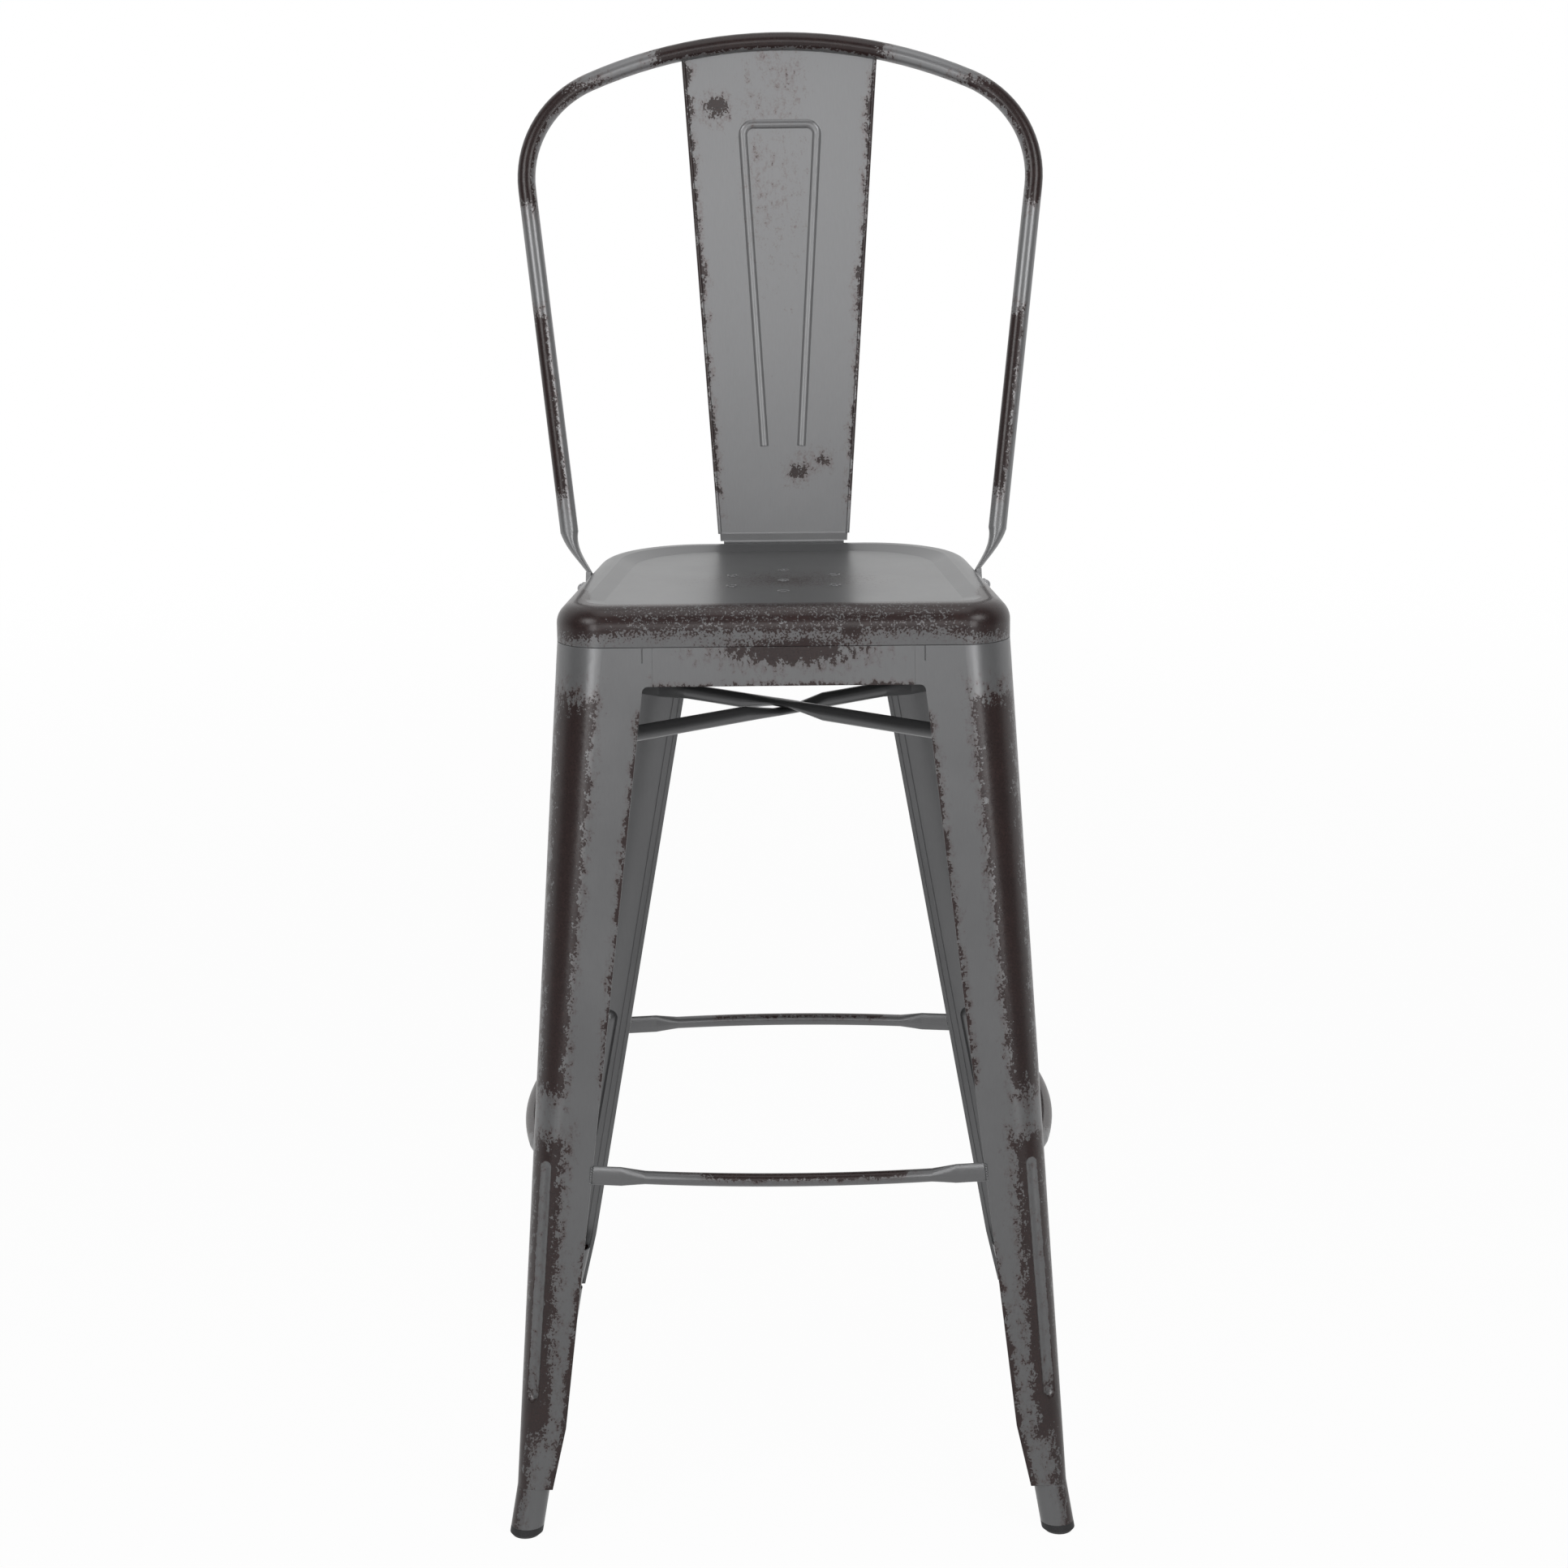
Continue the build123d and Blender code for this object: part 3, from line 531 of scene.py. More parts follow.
def plain_material(name, colour, roughness, metallic, scale, spread):
    """Material of one colour, broken by fine noise in its colour, roughness and bump."""
    material, tree, shader, bump = new_material(name, bump_strength=0.3, bump_step=GRAIN_STEP)
    shader.inputs["Metallic"].default_value = metallic
    surface = Surface(tree)
    coarse = surface.noise(scale, detail=4.0)
    fine = surface.noise(scale * 6.0, detail=2.0, seed=2.0)
    share = (coarse * 0.6 + fine * 0.4).ramp(-0.6, 0.6)
    dark = tuple(channel * (1.0 - spread) for channel in colour)
    pale = tuple(channel * (1.0 + spread) for channel in colour)
    tree.links.new(mixed(tree, share, dark, pale), shader.inputs["Base Color"])
    tree.links.new((coarse * 0.08 + roughness).socket, shader.inputs["Roughness"])
    tree.links.new(fine.socket, bump.inputs["Height"])
    return material


def dress(material, *nodes):
    """Give frame nodes a material."""
    for name in nodes:
        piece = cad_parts[name]
        for slot in piece.material_slots:
            slot.material = material


# Sizes of the stool that the wear follows, in millimetres
SEAM_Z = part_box("seat_pan")[0][2] / MILLI
RIM_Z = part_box("seat_pan")[1][2] / MILLI
SEAT_FRONT_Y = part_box("seat_pan")[0][1] / MILLI
SEAT_REAR_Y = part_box("seat_pan")[1][1] / MILLI
SEAT_FRONT_HALF = 184.7
SEAT_REAR_HALF = 152.9
SEAT_CORNER_RADIUS = 38.0
APRON_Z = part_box("apron_front")[0][2] / MILLI
LEG_END_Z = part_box("leg_front_left")[0][2] / MILLI
LEG_END_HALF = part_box("leg_front_right")[1][0] / MILLI
LEG_TOP_HALF = {"front": SEAT_FRONT_HALF, "rear": 143.5}
ANKLE_Z = 92.0
GAP_TOP = {"front": 111.6, "rear": 77.0}  # half the opening between two legs, at apron, ankle and foot
GAP_ANKLE = {"front": 183.5, "rear": 184.0}
GAP_FOOT = {"front": 195.2, "rear": 195.8}
CORNER_ACROSS = {"front": (211.3, 150.2), "rear": (211.3, 51.5)}  # rounded corner's centre, at foot and seam
CORNER_OUT = {"front": (205.0, 108.0), "rear": (205.0, 88.0)}
GROOVE_Z = (121.0, 309.0)
GROOVE_TURN = radians(67.0)  # from the side panel towards the front or rear panel
SLAT_Z = (760.0, 1170.0)
SLAT_HALF = (56.0, 82.6)  # at those heights

# Places of the wear, in millimetres
PATCH_X = 7.0
PATCH_Z = SEAM_Z - 3.5
PATCH_FLATNESS = 0.21  # height over width
RIM_FADE_Y = (SEAT_FRONT_Y + 45.0, SEAT_FRONT_Y + 160.0)
RIM_REACH = (24.0, -3.0)  # in from the edge, before and after it fades
RIM_DEPTH = 18.5  # down from the rim's top
RIM_CORNER_DEPTH = 8.0  # further down at the corners
RIM_CORNER_X = (122.0, 170.0)  # from where the rim is middle to where it is corner
BLOTCH_X = 54.0
BLOTCH_Z = RIM_Z - 16.0
BLOTCH_RADIUS = 10.0
STAIN_PLACE = (8.0, 2.0)
STAIN_STRETCH = (0.1, 0.17)  # so that it is wider than it is deep
BAND_Z = (368.0, 684.0)  # dark band down a leg's rounded corner
BAND_MARKS_Z = (375.0, 680.0)
BAND_START = (4.0, 7.0)  # in from the leg's outer edge, at those marks
BAND_STOP = (25.0, 38.0)
SOUND_HEM_Z = 310.0  # by the foot rail, where the leg's inner edge keeps its paint
SOUND_HEM_HALF = (30.0, 80.0)
HEM_TOP_Z = (670.0, 690.0)  # where the inner edge's wear ends
HEM_LOW_Z = (130.0, 230.0)  # below which it is broader
GROOVE_FLOOR_HALF = 5.0  # of the strip that keeps its paint
GROOVE_WEAR_PAST = (38.0, 22.0)  # how far it runs on below and above the groove
HEEL_TOP = 125.0
RAIL_RUB_X = 12.0
RAIL_RUB_HALF = (60.0, 120.0)
REAR_RAIL_Y = (100.0, 180.0)  # towards the rear rail, which is rubbed less
HOOP_TOP_X = -9.0
HOOP_TOP_HALF = 100.0
HOOP_TOP_Z = 1160.0
SHOULDER_Z = (1052.0, 1152.0)
SHOULDER_X = 120.0
GRIP_Z = (812.0, 960.0)
SLAT_EDGE_Z = 800.0
SLAT_BLOTCHES = (  # place, radius and how fast each fades
    ((-54.5, 210.5, 1131.0), 8.0, 0.45),
    ((12.5, 187.2, 818.0), 5.5, 0.45),
    ((34.0, 187.9, 828.0), 1.5, 0.4),
)
SPECKS_X = -6.0
SPECKS_HALF = (14.0, 50.0)
SPECKS_Z = (930.0, 1060.0)


def facing(turn, past, steepness):
    """Limit that keeps wear on the faces whose turn to one side is past a share."""
    return (turn - past) * steepness


def rim_inset(surface):
    """Distance in from the seat's front and side edges, up to the corner's radius."""
    side = surface.y.line(SEAT_FRONT_Y, SEAT_REAR_Y, SEAT_FRONT_HALF, SEAT_REAR_HALF) - surface.across
    near_side = (-side + SEAT_CORNER_RADIUS).most(0.0)
    near_front = (-(surface.y - SEAT_FRONT_Y) + SEAT_CORNER_RADIUS).most(0.0)
    return -(near_side * near_side + near_front * near_front).root() + SEAT_CORNER_RADIUS


def seam_patch(surface):
    """Flaked patch across the seam in the middle of the front."""
    dx = (surface.x - PATCH_X) * PATCH_FLATNESS
    dz = surface.z - PATCH_Z
    patch = -(dx * dx + dz * dz).root() * 0.6 + 6.2
    return patch.least(facing(-surface.facing_y, past=0.5, steepness=40.0))


def tray_stain(surface):
    """Faint stain round the middle drain hole, on the tray's floor alone."""
    dx = (surface.x - STAIN_PLACE[0]) * STAIN_STRETCH[0]
    dy = (surface.y - STAIN_PLACE[1]) * STAIN_STRETCH[1]
    stain = -(dx * dx + dy * dy).root() * 0.8 + 1.3
    return stain.least(facing(surface.facing_z, past=0.9, steepness=50.0))


def seat_wear(surface):
    """Rubbed front rim, solid at the corners and broken between them, with the patch and the stain."""
    crest = (surface.y.ramp(*RIM_FADE_Y, *RIM_REACH) - rim_inset(surface)) * 2.0
    corners = surface.across.ramp(*RIM_CORNER_X)
    hem = surface.z - (corners * -RIM_CORNER_DEPTH + (RIM_Z - RIM_DEPTH))
    blotch = surface.spot(BLOTCH_X, SEAT_FRONT_Y, BLOTCH_Z, BLOTCH_RADIUS) * 0.6
    rim = crest.least(hem * 0.55, corners * 5.0 + 1.8).most(blotch)
    return rim.most(seam_patch(surface), tray_stain(surface))


def apron_wear(surface):
    """Patch below the seam in the middle of the front, and a thin line along the lower edges."""
    lower = -(surface.z - APRON_Z) * 1.2 + 1.2
    return seam_patch(surface).most(lower)


def leg_wear(end):
    """Wear of the front or rear legs: rounded corners, inner edges, sides of the groove and heels."""
    way = -1.0 if end == "front" else 1.0

    def wear(surface):
        z = surface.z
        out = surface.y * way
        outward = facing(surface.facing_across * 0.7 + surface.facing_y * way * 0.7, past=0.2, steepness=60.0)
        edge_in = z.line(LEG_END_Z, SEAM_Z, LEG_END_HALF, LEG_TOP_HALF[end]) - surface.across
        corner_dx = surface.across - z.line(LEG_END_Z, SEAM_Z, *CORNER_ACROSS[end])
        corner_dy = out - z.line(LEG_END_Z, SEAM_Z, *CORNER_OUT[end])

        start = z.line(*BAND_MARKS_Z, *BAND_START)
        stop = z.line(*BAND_MARKS_Z, *BAND_STOP)
        ends = z.band(*BAND_Z) * 0.25
        band = ((edge_in - start) * 0.7).least((stop - edge_in) * 0.65, corner_dy * 0.4 + 3.0, ends, 7.0)

        upper = z.line(APRON_Z, ANKLE_Z, GAP_TOP[end], GAP_ANKLE[end])
        lower = z.line(ANKLE_Z, LEG_END_Z, GAP_ANKLE[end], GAP_FOOT[end])
        depth = abs(z - SOUND_HEM_Z).ramp(*SOUND_HEM_HALF, -9.0, 1.6)
        top_fade = z.ramp(*HEM_TOP_Z, 0.0, -12.0)
        low_more = z.ramp(*HEM_LOW_Z, 2.2, 0.0)
        hem = depth + top_fade + low_more - (surface.across - upper.most(lower)) * 0.9

        aside = corner_dx * sin(GROOVE_TURN) - corner_dy * cos(GROOVE_TURN)
        beyond = (-z.band(*GROOVE_Z)).most(0.0)
        away = (aside * aside + beyond * beyond).root()
        floor = (away - GROOVE_FLOOR_HALF).ramp(-1.0, 0.6, -9.0, 0.0)
        around = z.band(GROOVE_Z[0] - GROOVE_WEAR_PAST[0], GROOVE_Z[1] + GROOVE_WEAR_PAST[1]) * 0.3
        beside = (-abs(aside) * 0.5 + 6.5).least(around, 5.0) + floor

        heel = (-edge_in * 0.4 + 3.8).least(z.band(0.0, HEEL_TOP) * 0.3)
        return band.most(hem, beside, heel).least(outward)

    return wear


def foot_wear(surface):
    """Scuffs down the outer side of each round foot."""
    return surface.facing_across * 9.0 - 5.2


def rail_wear(surface):
    """Rubbed tops of the foot rails, in the middle of their length and less on the rear one."""
    along = abs(surface.x - RAIL_RUB_X).least(abs(surface.y))
    middle = -along.ramp(*RAIL_RUB_HALF, 0.0, 9.0)
    rear = surface.y.ramp(*REAR_RAIL_Y, 0.0, -2.5)
    return facing(surface.facing_z, past=0.25, steepness=6.0) + middle + rear


def brace_wear(surface):
    """A few specks on top of the brace."""
    return surface.facing_z * 2.0 - 8.0


def hoop_wear(surface):
    """Rubbed top, shoulders and middle of the sides of the back hoop."""
    upward = facing(surface.facing_z, past=-0.65, steepness=11.0)
    top = ((-abs(surface.x - HOOP_TOP_X) + HOOP_TOP_HALF) * 0.3).least(upward, surface.z - HOOP_TOP_Z, 6.0)
    outward = facing(surface.facing_across * 0.8 + surface.facing_z * 0.4, past=-0.5, steepness=9.0)
    shoulder = (surface.z.band(*SHOULDER_Z) * 0.35).least(outward, surface.across - SHOULDER_X, 5.5)
    leftward = facing(-surface.facing_x * 0.8 - surface.facing_y * 0.6, past=0.35, steepness=9.0)
    grip = (surface.z.band(*GRIP_Z) * 0.3).least(leftward, 4.0)
    return top.most(shoulder, grip)


def slat_wear(surface):
    """Dashes along the slat's edges, and a few blotches and scattered specks on its front."""
    edge_in = surface.z.line(*SLAT_Z, *SLAT_HALF) - surface.across
    dashes = surface.noise(scale=38.0, detail=3.0, stretch=(0.2, 0.2, 1.0), seed=4.0)
    edges = (dashes * 7.0 - edge_in * 0.8 + 1.4).least((surface.z - SLAT_EDGE_Z) * 0.2)
    sideways = abs(surface.x - SPECKS_X).ramp(*SPECKS_HALF, 3.6, 9.0)
    specks = -sideways + surface.z.ramp(*SPECKS_Z, -4.0, 0.0)
    blotches = (surface.spot(*place, radius) * fade for place, radius, fade in SLAT_BLOTCHES)
    front = facing(-surface.facing_y, past=0.3, steepness=30.0)
    return edges.most(specks.most(*blotches).least(front))


class STOOL_OT_finish_seat(bpy.types.Operator):
    """Paint the seat pan, with its rubbed front rim"""

    bl_idname = "stool.finish_seat"
    bl_label = "Finish seat"

    def execute(self, context):
        dress(painted("Pan paint", seat_wear, ragged=2.5, chips=2.0, specks=8.0), "seat_pan")
        return {"FINISHED"}


class STOOL_OT_finish_aprons(bpy.types.Operator):
    """Paint the four aprons under the seat"""

    bl_idname = "stool.finish_aprons"
    bl_label = "Finish aprons"

    def execute(self, context):
        material = painted("Apron paint", apron_wear, ragged=2.0, chips=6.0, specks=3.0)
        dress(material, *(f"apron_{name}" for name in SIDES))
        return {"FINISHED"}


class STOOL_OT_finish_legs(bpy.types.Operator):
    """Paint the four legs, with their rubbed corners, edges and grooves"""

    bl_idname = "stool.finish_legs"
    bl_label = "Finish legs"

    def execute(self, context):
        for end in ENDS:
            material = painted(f"Leg paint {end}", leg_wear(end), ragged=3.0, chips=5.0, specks=4.0)
            dress(material, f"leg_{end}_left", f"leg_{end}_right")
        return {"FINISHED"}


class STOOL_OT_finish_feet(bpy.types.Operator):
    """Paint the foot sleeves and colour their rubber pads"""

    bl_idname = "stool.finish_feet"
    bl_label = "Finish feet"

    def execute(self, context):
        colours = context.scene.stool_paint
        paint = painted("Foot paint", foot_wear, ragged=3.0, chips=4.0, specks=4.0)
        dress(paint, *(f"foot_sleeve_{name}" for name in CORNERS))
        rubber = plain_material(
            "Pad rubber", tuple(colours.rubber), roughness=0.62, metallic=0.0, scale=160.0, spread=0.35
        )
        dress(rubber, *(f"foot_pad_{name}" for name in CORNERS))
        return {"FINISHED"}


class STOOL_OT_finish_rails(bpy.types.Operator):
    """Paint the foot rails and the cross brace"""

    bl_idname = "stool.finish_rails"
    bl_label = "Finish rails and brace"

    def execute(self, context):
        rails = painted("Rail paint", rail_wear, ragged=3.0, chips=3.0, specks=3.0)
        dress(rails, *(f"foot_rail_{name}" for name in SIDES))
        # The brace's paint is darker, as painted shade under the seat
        brace = painted("Brace paint", brace_wear, ragged=3.0, chips=3.0, specks=3.0, tone_and_painted_light=0.8)
        dress(brace, "brace_tube_upper", "brace_tube_lower")
        return {"FINISHED"}


class STOOL_OT_finish_back(bpy.types.Operator):
    """Paint the back hoop and its slat"""

    bl_idname = "stool.finish_back"
    bl_label = "Finish back"

    def execute(self, context):
        # The back's paint is paler, partly as its own paler paint and partly as painted light: the slat's
        # brighter look and a stronger highlight on the hoop
        dress(painted("Hoop paint", hoop_wear, ragged=2.5, chips=3.0, specks=4.0, tone_and_painted_light=1.4), "back_hoop")
        dress(painted("Slat paint", slat_wear, ragged=2.0, chips=4.5, specks=4.0, tone_and_painted_light=1.25), "back_slat")
        return {"FINISHED"}


class STOOL_OT_finish_fasteners(bpy.types.Operator):
    """Plate the bolts and nuts"""

    bl_idname = "stool.finish_fasteners"
    bl_label = "Finish fasteners"

    def execute(self, context):
        colours = context.scene.stool_paint
        zinc = plain_material(
            "Zinc plate", tuple(colours.zinc), roughness=0.42, metallic=0.85, scale=500.0, spread=0.25
        )
        dress(zinc, "hoop_bolts", "hoop_nuts", "slat_bolts", "slat_nuts")
        return {"FINISHED"}


def settle(piece, name, material):
    """Name a new piece, put its place into its mesh and hang it on the stool."""
    bpy.ops.object.select_all(action="DESELECT")
    piece.select_set(True)
    bpy.context.view_layer.objects.active = piece
    bpy.ops.object.transform_apply(location=True, rotation=True, scale=True)
    piece.name = name
    piece.data.name = name
    piece.data.materials.clear()
    piece.data.materials.append(material)
    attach(piece, BODY)


def spread(first, places):
    """Copies of a piece, each with its own mesh, at places given as (location, rotation), joined into one."""
    copies = []
    for location, rotation in places:
        bpy.ops.object.select_all(action="DESELECT")
        first.select_set(True)
        bpy.context.view_layer.objects.active = first
        bpy.ops.object.duplicate(linked=False)
        copy = bpy.context.object
        copy.location = location
        copy.rotation_euler = rotation
        copies.append(copy)
    bpy.ops.object.select_all(action="DESELECT")
    first.select_set(True)
    bpy.ops.object.delete()
    for copy in copies:
        copy.select_set(True)
    bpy.context.view_layer.objects.active = copies[0]
    bpy.ops.object.join()
    return bpy.context.object


def weld_bead(sizes, count):
    """Row of overlapping ripples along Z, centred on the origin."""
    bpy.ops.object.select_all(action="DESELECT")
    bpy.ops.mesh.primitive_uv_sphere_add(segments=14, ring_count=8, radius=sizes.bead_radius)
    bead = bpy.context.object
    bead.location.z = -sizes.ripple * (count - 1) / 2
    bpy.ops.object.transform_apply(location=True, rotation=False, scale=False)
    array = bead.modifiers.new("Ripples", "ARRAY")
    array.count = count
    array.use_relative_offset = False
    array.use_constant_offset = True
    array.constant_offset_displace = (0.0, 0.0, sizes.ripple)
    bpy.ops.object.modifier_apply(modifier=array.name)
    bpy.ops.object.shade_smooth()
    return bead


class STOOL_OT_add_rail_welds(bpy.types.Operator):
    """Model the weld beads between the foot rails' flat ends and the legs' folded edges"""

    bl_idname = "stool.add_rail_welds"
    bl_label = "Add rail welds"

    def execute(self, context):
        sizes = context.scene.stool_welds
        places = []
        for name in ENDS:
            low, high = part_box(f"foot_rail_{name}")
            flat_y = high.y - sizes.rail_flat if name == "front" else low.y + sizes.rail_flat
            for x, side in ((low.x, -1.0), (high.x, 1.0)):
                places.append(((x, flat_y, (low.z + high.z) / 2), (0.0, -side * RAIL_LEAN[name], 0.0)))
        for name in ("left", "right"):
            low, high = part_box(f"foot_rail_{name}")
            flat_x = high.x - sizes.rail_flat if name == "left" else low.x + sizes.rail_flat
            for y, lean in zip((low.y, high.y), SIDE_RAIL_LEAN):
                places.append(((flat_x, y, (low.z + high.z) / 2), (lean, 0.0, 0.0)))
        welds = spread(weld_bead(sizes, RAIL_RIPPLES), places)
        paint = painted("Weld paint", brace_wear, ragged=2.0, chips=3.0, specks=3.0)
        settle(welds, "rail_welds", paint)
        return {"FINISHED"}


class STOOL_OT_add_slat_welds(bpy.types.Operator):
    """Model the short welds that hold the slat's upper end under the hoop"""

    bl_idname = "stool.add_slat_welds"
    bl_label = "Add slat welds"

    def execute(self, context):
        sizes = context.scene.stool_welds
        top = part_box("back_hoop")[1]
        places = []
        for x in SLAT_WELD_X:
            drop = sizes.hoop_arch - (sizes.hoop_arch**2 - x**2) ** 0.5
            y = top.y - sizes.hoop_radius + sizes.bead_radius - drop * sin(sizes.hoop_lean)
            z = top.z - 2 * sizes.hoop_radius - drop * cos(sizes.hoop_lean)
            places.append(((x, y, z), (0.0, pi / 2 + x / sizes.hoop_arch, 0.0)))
        welds = spread(weld_bead(sizes, SLAT_RIPPLES), places)
        paint = painted("Slat weld paint", brace_wear, ragged=2.0, chips=3.0, specks=3.0)
        settle(welds, "slat_welds", paint)
        return {"FINISHED"}


class STOOL_OT_add_drain_lips(bpy.types.Operator):
    """Model the rounded lips that the punch left round the seat's drain holes"""

    bl_idname = "stool.add_drain_lips"
    bl_label = "Add drain lips"

    def execute(self, context):
        sizes = context.scene.stool_welds
        bpy.ops.object.select_all(action="DESELECT")
        bpy.ops.mesh.primitive_torus_add(
            major_segments=32,
            minor_segments=10,
            major_radius=sizes.drain_radius + sizes.drain_lip / 4,
            minor_radius=sizes.drain_lip / 2,
        )
        bpy.ops.transform.resize(value=(1.0, 1.0, LIP_FLATTENING))
        bpy.ops.object.shade_smooth()
        floor_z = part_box("seat_pan")[1].z - sizes.tray_depth
        places = [((0.0, 0.0, floor_z), (0.0, 0.0, 0.0))]
        for count in range(DRAIN_COUNT):
            turn = pi / 2 + count * 2 * pi / DRAIN_COUNT
            place = (sizes.drain_ring * cos(turn), sizes.drain_ring * sin(turn), floor_z)
            places.append((place, (0.0, 0.0, 0.0)))
        lips = spread(context.object, places)
        paint = painted("Drain paint", brace_wear, ragged=2.0, chips=3.0, specks=3.0)
        settle(lips, "drain_lips", paint)
        return {"FINISHED"}


def soft_box(name, place, target, width, height, power):
    """Large soft lamp, turned to a point, that the camera doesn't see."""
    bpy.ops.object.light_add(type="AREA", location=place)
    lamp = bpy.context.object
    lamp.name = name
    lamp.data.shape = "RECTANGLE"
    lamp.data.size = width
    lamp.data.size_y = height
    lamp.data.energy = power
    lamp.visible_camera = False
    lamp.rotation_euler = (Vector(target) - lamp.location).to_track_quat("-Z", "Y").to_euler()


def sight(tree):
    """Two fields: 1 for the camera's rays, and 1 for mirrored and see-through rays."""
    path = tree.nodes.new("ShaderNodeLightPath")
    camera = Field(tree, path.outputs["Is Camera Ray"])
    glossy = Field(tree, path.outputs["Is Glossy Ray"])
    through = Field(tree, path.outputs["Is Transmission Ray"])
    return camera, glossy.most(through)


class STOOL_OT_set_stage(bpy.types.Operator):
    """Set up the camera, the floor and the studio light"""

    bl_idname = "stool.set_stage"
    bl_label = "Set stage"

    def execute(self, context):
        stage = context.scene.stool_stage
        turn = (
            Matrix.Rotation(-stage.camera_yaw, 3, "Z")
            @ Matrix.Rotation(pi / 2 - stage.camera_pitch, 3, "X")
            @ Matrix.Rotation(stage.camera_roll, 3, "Z")
        )
        bpy.ops.object.camera_add(location=stage.camera_place, rotation=turn.to_euler())
        camera = context.object
        camera.name = "Camera"
        camera.data.sensor_width = SENSOR
        camera.data.lens = SENSOR * stage.focal_pixels / IMAGE_SIZE
        camera.data.clip_end = VIEW_END
        context.scene.camera = camera
        context.scene.view_settings.view_transform = "Standard"

        bpy.ops.mesh.primitive_plane_add(size=FLOOR_SIZE, location=(0.0, 0.0, 0.0))
        floor = context.object
        floor.name = "Floor"
        floor.data.materials.append(self.floor_material(stage))

        self.light_room(context, stage)
        self.hang_lamps(stage)
        return {"FINISHED"}

    def hang_lamps(self, stage):
        """High boxes for the hoop and the rim, low strips for the legs, and one box in front and above."""
        for name, side in (("Left", -1.0), ("Right", 1.0)):
            soft_box(
                f"{name} high box",
                place=(side * 1.75, -1.95, 2.5),
                target=(0.0, 0.0, 0.95),
                width=1.2,
                height=1.1,
                power=stage.high_power,
            )
            soft_box(
                f"{name} low strip",
                place=(side * 1.1, -2.35, 1.0),
                target=(0.0, 0.0, 0.7),
                width=0.5,
                height=1.1,
                power=stage.low_power,
            )
        soft_box(
            "Front box",
            place=(0.0, -3.3, 1.5),
            target=(0.0, 0.0, 1.0),
            width=0.8,
            height=1.1,
            power=stage.front_power,
        )
        soft_box(
            "Top box",
            place=(0.0, -0.3, 3.0),
            target=(0.0, 0.0, 0.6),
            width=1.5,
            height=1.5,
            power=stage.top_power,
        )

    def floor_material(self, stage):
        """Pale matt floor that looks white to the camera and keeps the stool's shadow."""
        material = bpy.data.materials.new("Floor")
        material.use_nodes = True
        tree = material.node_tree
        tree.nodes.clear()
        matt = tree.nodes.new("ShaderNodeBsdfDiffuse")
        matt.inputs["Color"].default_value = (*stage.floor, 1.0)
        glow = tree.nodes.new("ShaderNodeEmission")
        mix = tree.nodes.new("ShaderNodeMixShader")
        output = tree.nodes.new("ShaderNodeOutputMaterial")
        camera, mirrored = sight(tree)
        place = Surface(tree)
        away = (place.x * place.x + place.y * place.y).root()
        far = away.ramp(*FLOOR_FAR, FLOOR_NEAR_GLOW, 1.0)
        behind = place.y.ramp(*FLOOR_FRONT_Y, stage.room_front, FLOOR_MIRRORED)
        share = camera * far + mirrored * behind
        tree.links.new(share.socket, mix.inputs["Fac"])
        tree.links.new(matt.outputs[0], mix.inputs[1])
        tree.links.new(glow.outputs[0], mix.inputs[2])
        tree.links.new(mix.outputs[0], output.inputs["Surface"])
        return material

    def light_room(self, context, stage):
        """White room behind the stool, dimmer in front of it and as a source of light."""
        world = bpy.data.worlds.new("Room")
        world.use_nodes = True
        tree = world.node_tree
        background = tree.nodes["Background"]
        background.inputs["Color"].default_value = (1.0, 1.0, 1.0, 1.0)
        way = tree.nodes.new("ShaderNodeSeparateXYZ")
        coordinates = tree.nodes.new("ShaderNodeTexCoord")
        tree.links.new(coordinates.outputs["Generated"], way.inputs[0])
        behind = Field(tree, way.outputs["Y"]).ramp(*ROOM_FRONT_TURN, stage.room_front, 1.0)
        camera, mirrored = sight(tree)
        lit = -camera.most(mirrored) + 1.0
        strength = camera + mirrored * behind + lit * stage.room_light
        tree.links.new(strength.socket, background.inputs["Strength"])
        context.scene.world = world


class STOOL_PT_panel(bpy.types.Panel):
    """Lists the stool's steps and settings"""

    bl_idname = "STOOL_PT_panel"
    bl_label = "Stool"
    bl_space_type = "VIEW_3D"
    bl_region_type = "UI"
    bl_category = "Stool"

    def draw(self, context):
        layout = self.layout
        for settings in (context.scene.stool_paint, context.scene.stool_welds, context.scene.stool_stage):
            box = layout.box()
            for name in settings.__annotations__:
                box.prop(settings, name)
        for operator in OPERATORS:
            layout.operator(operator.bl_idname)


SETTINGS = (PaintSettings, WeldSettings, StageSettings)
OPERATORS = (
    STOOL_OT_finish_seat,
    STOOL_OT_finish_aprons,
    STOOL_OT_finish_legs,
    STOOL_OT_finish_feet,
    STOOL_OT_finish_rails,
    STOOL_OT_finish_back,
    STOOL_OT_finish_fasteners,
    STOOL_OT_add_rail_welds,
    STOOL_OT_add_slat_welds,
    STOOL_OT_add_drain_lips,
    STOOL_OT_set_stage,
)
CLASSES = (*SETTINGS, *OPERATORS, STOOL_PT_panel)


def register():
    for cls in CLASSES:
        bpy.utils.register_class(cls)
    bpy.types.Scene.stool_paint = bpy.props.PointerProperty(type=PaintSettings)
    bpy.types.Scene.stool_welds = bpy.props.PointerProperty(type=WeldSettings)
    bpy.types.Scene.stool_stage = bpy.props.PointerProperty(type=StageSettings)


def unregister():
    del bpy.types.Scene.stool_stage
    del bpy.types.Scene.stool_welds
    del bpy.types.Scene.stool_paint
    for cls in reversed(CLASSES):
        bpy.utils.unregister_class(cls)


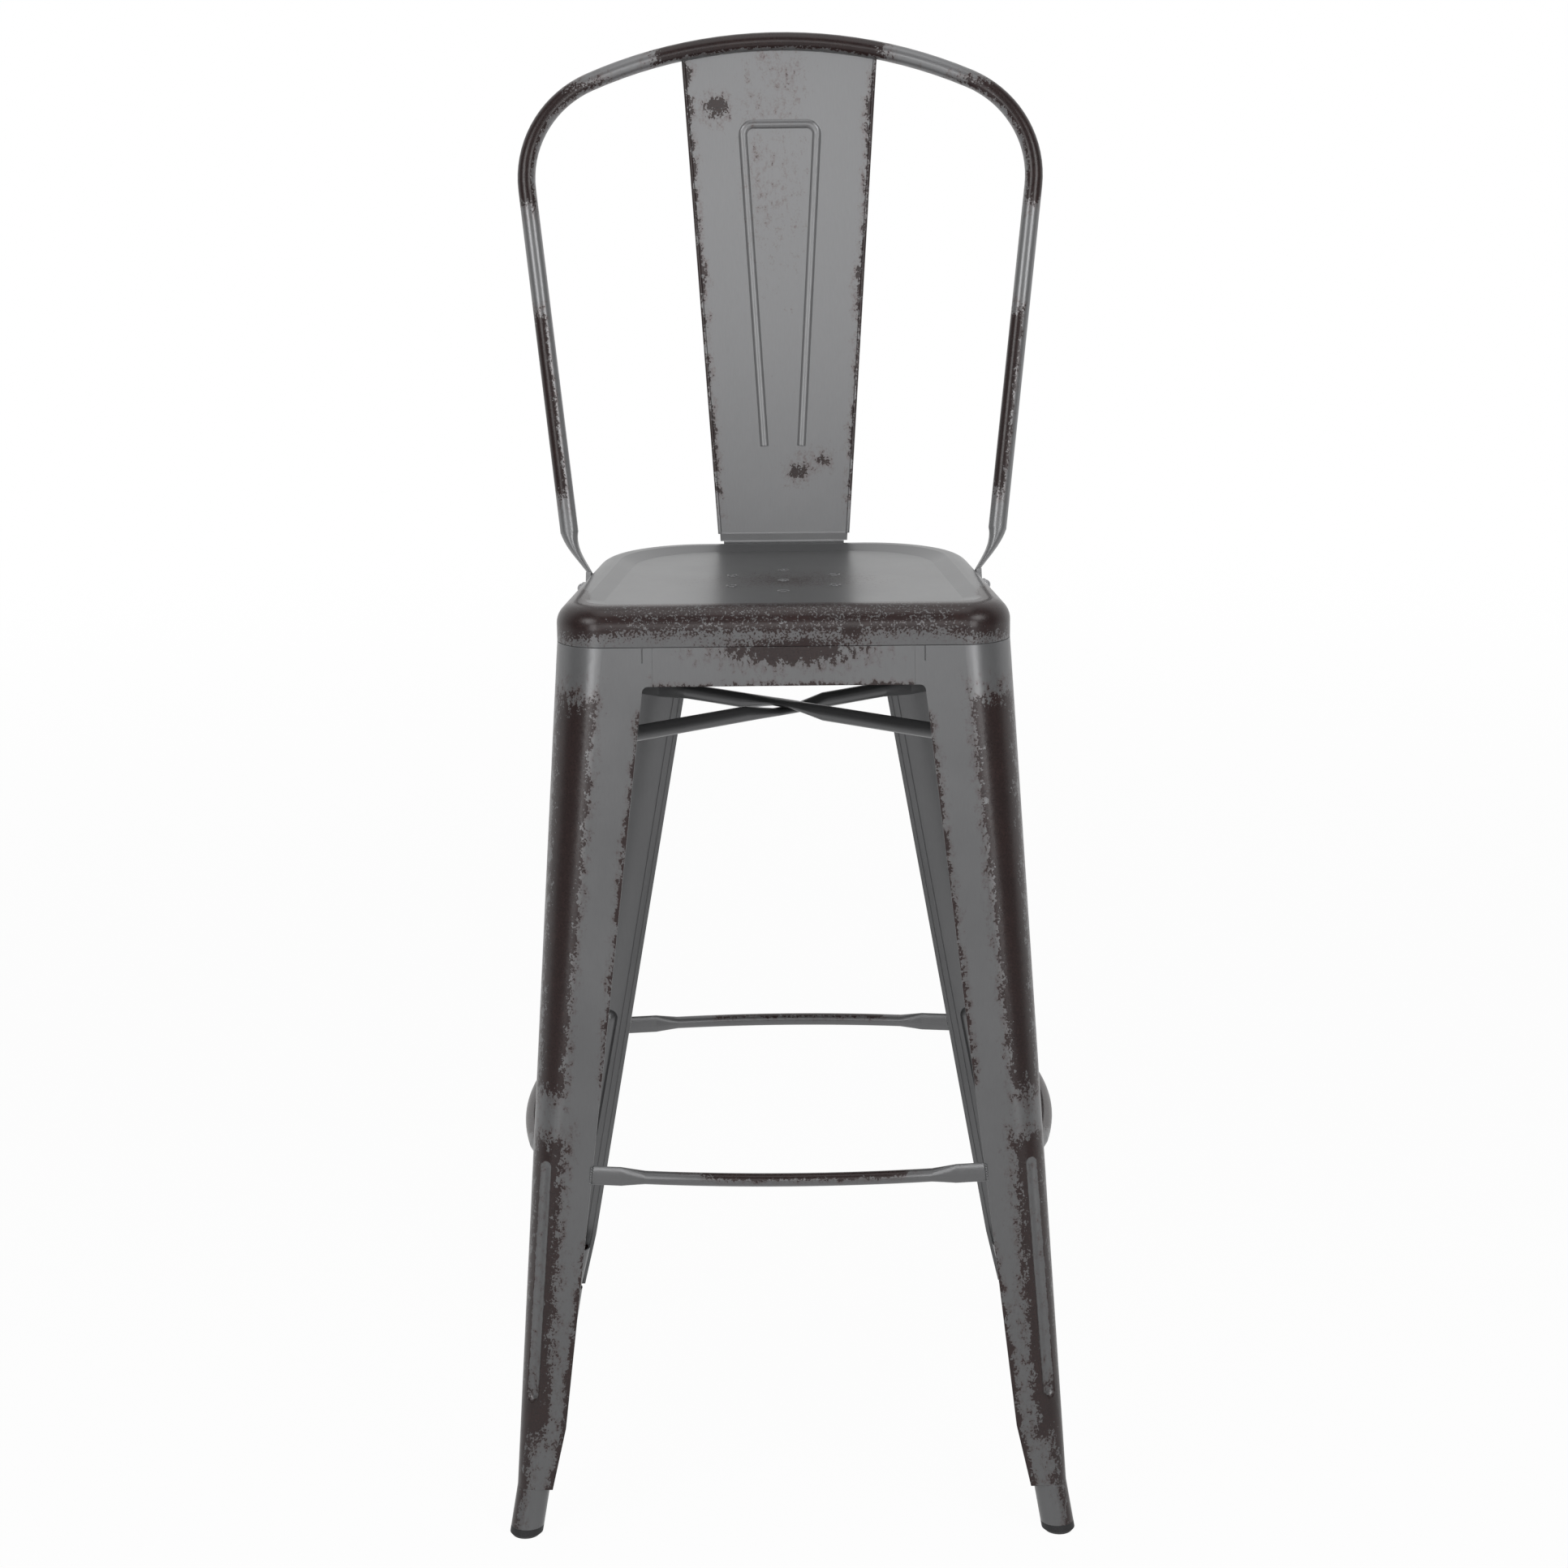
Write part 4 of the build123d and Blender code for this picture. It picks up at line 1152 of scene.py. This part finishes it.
def main():
    register()
    bpy.ops.object.select_all(action="DESELECT")
    bpy.ops.stool.finish_seat()
    bpy.ops.stool.finish_aprons()
    bpy.ops.stool.finish_legs()
    bpy.ops.stool.finish_feet()
    bpy.ops.stool.finish_rails()
    bpy.ops.stool.finish_back()
    bpy.ops.stool.finish_fasteners()
    bpy.ops.stool.add_rail_welds()
    bpy.ops.stool.add_slat_welds()
    bpy.ops.stool.add_drain_lips()
    bpy.ops.stool.set_stage()


if __name__ == "__main__":
    main()
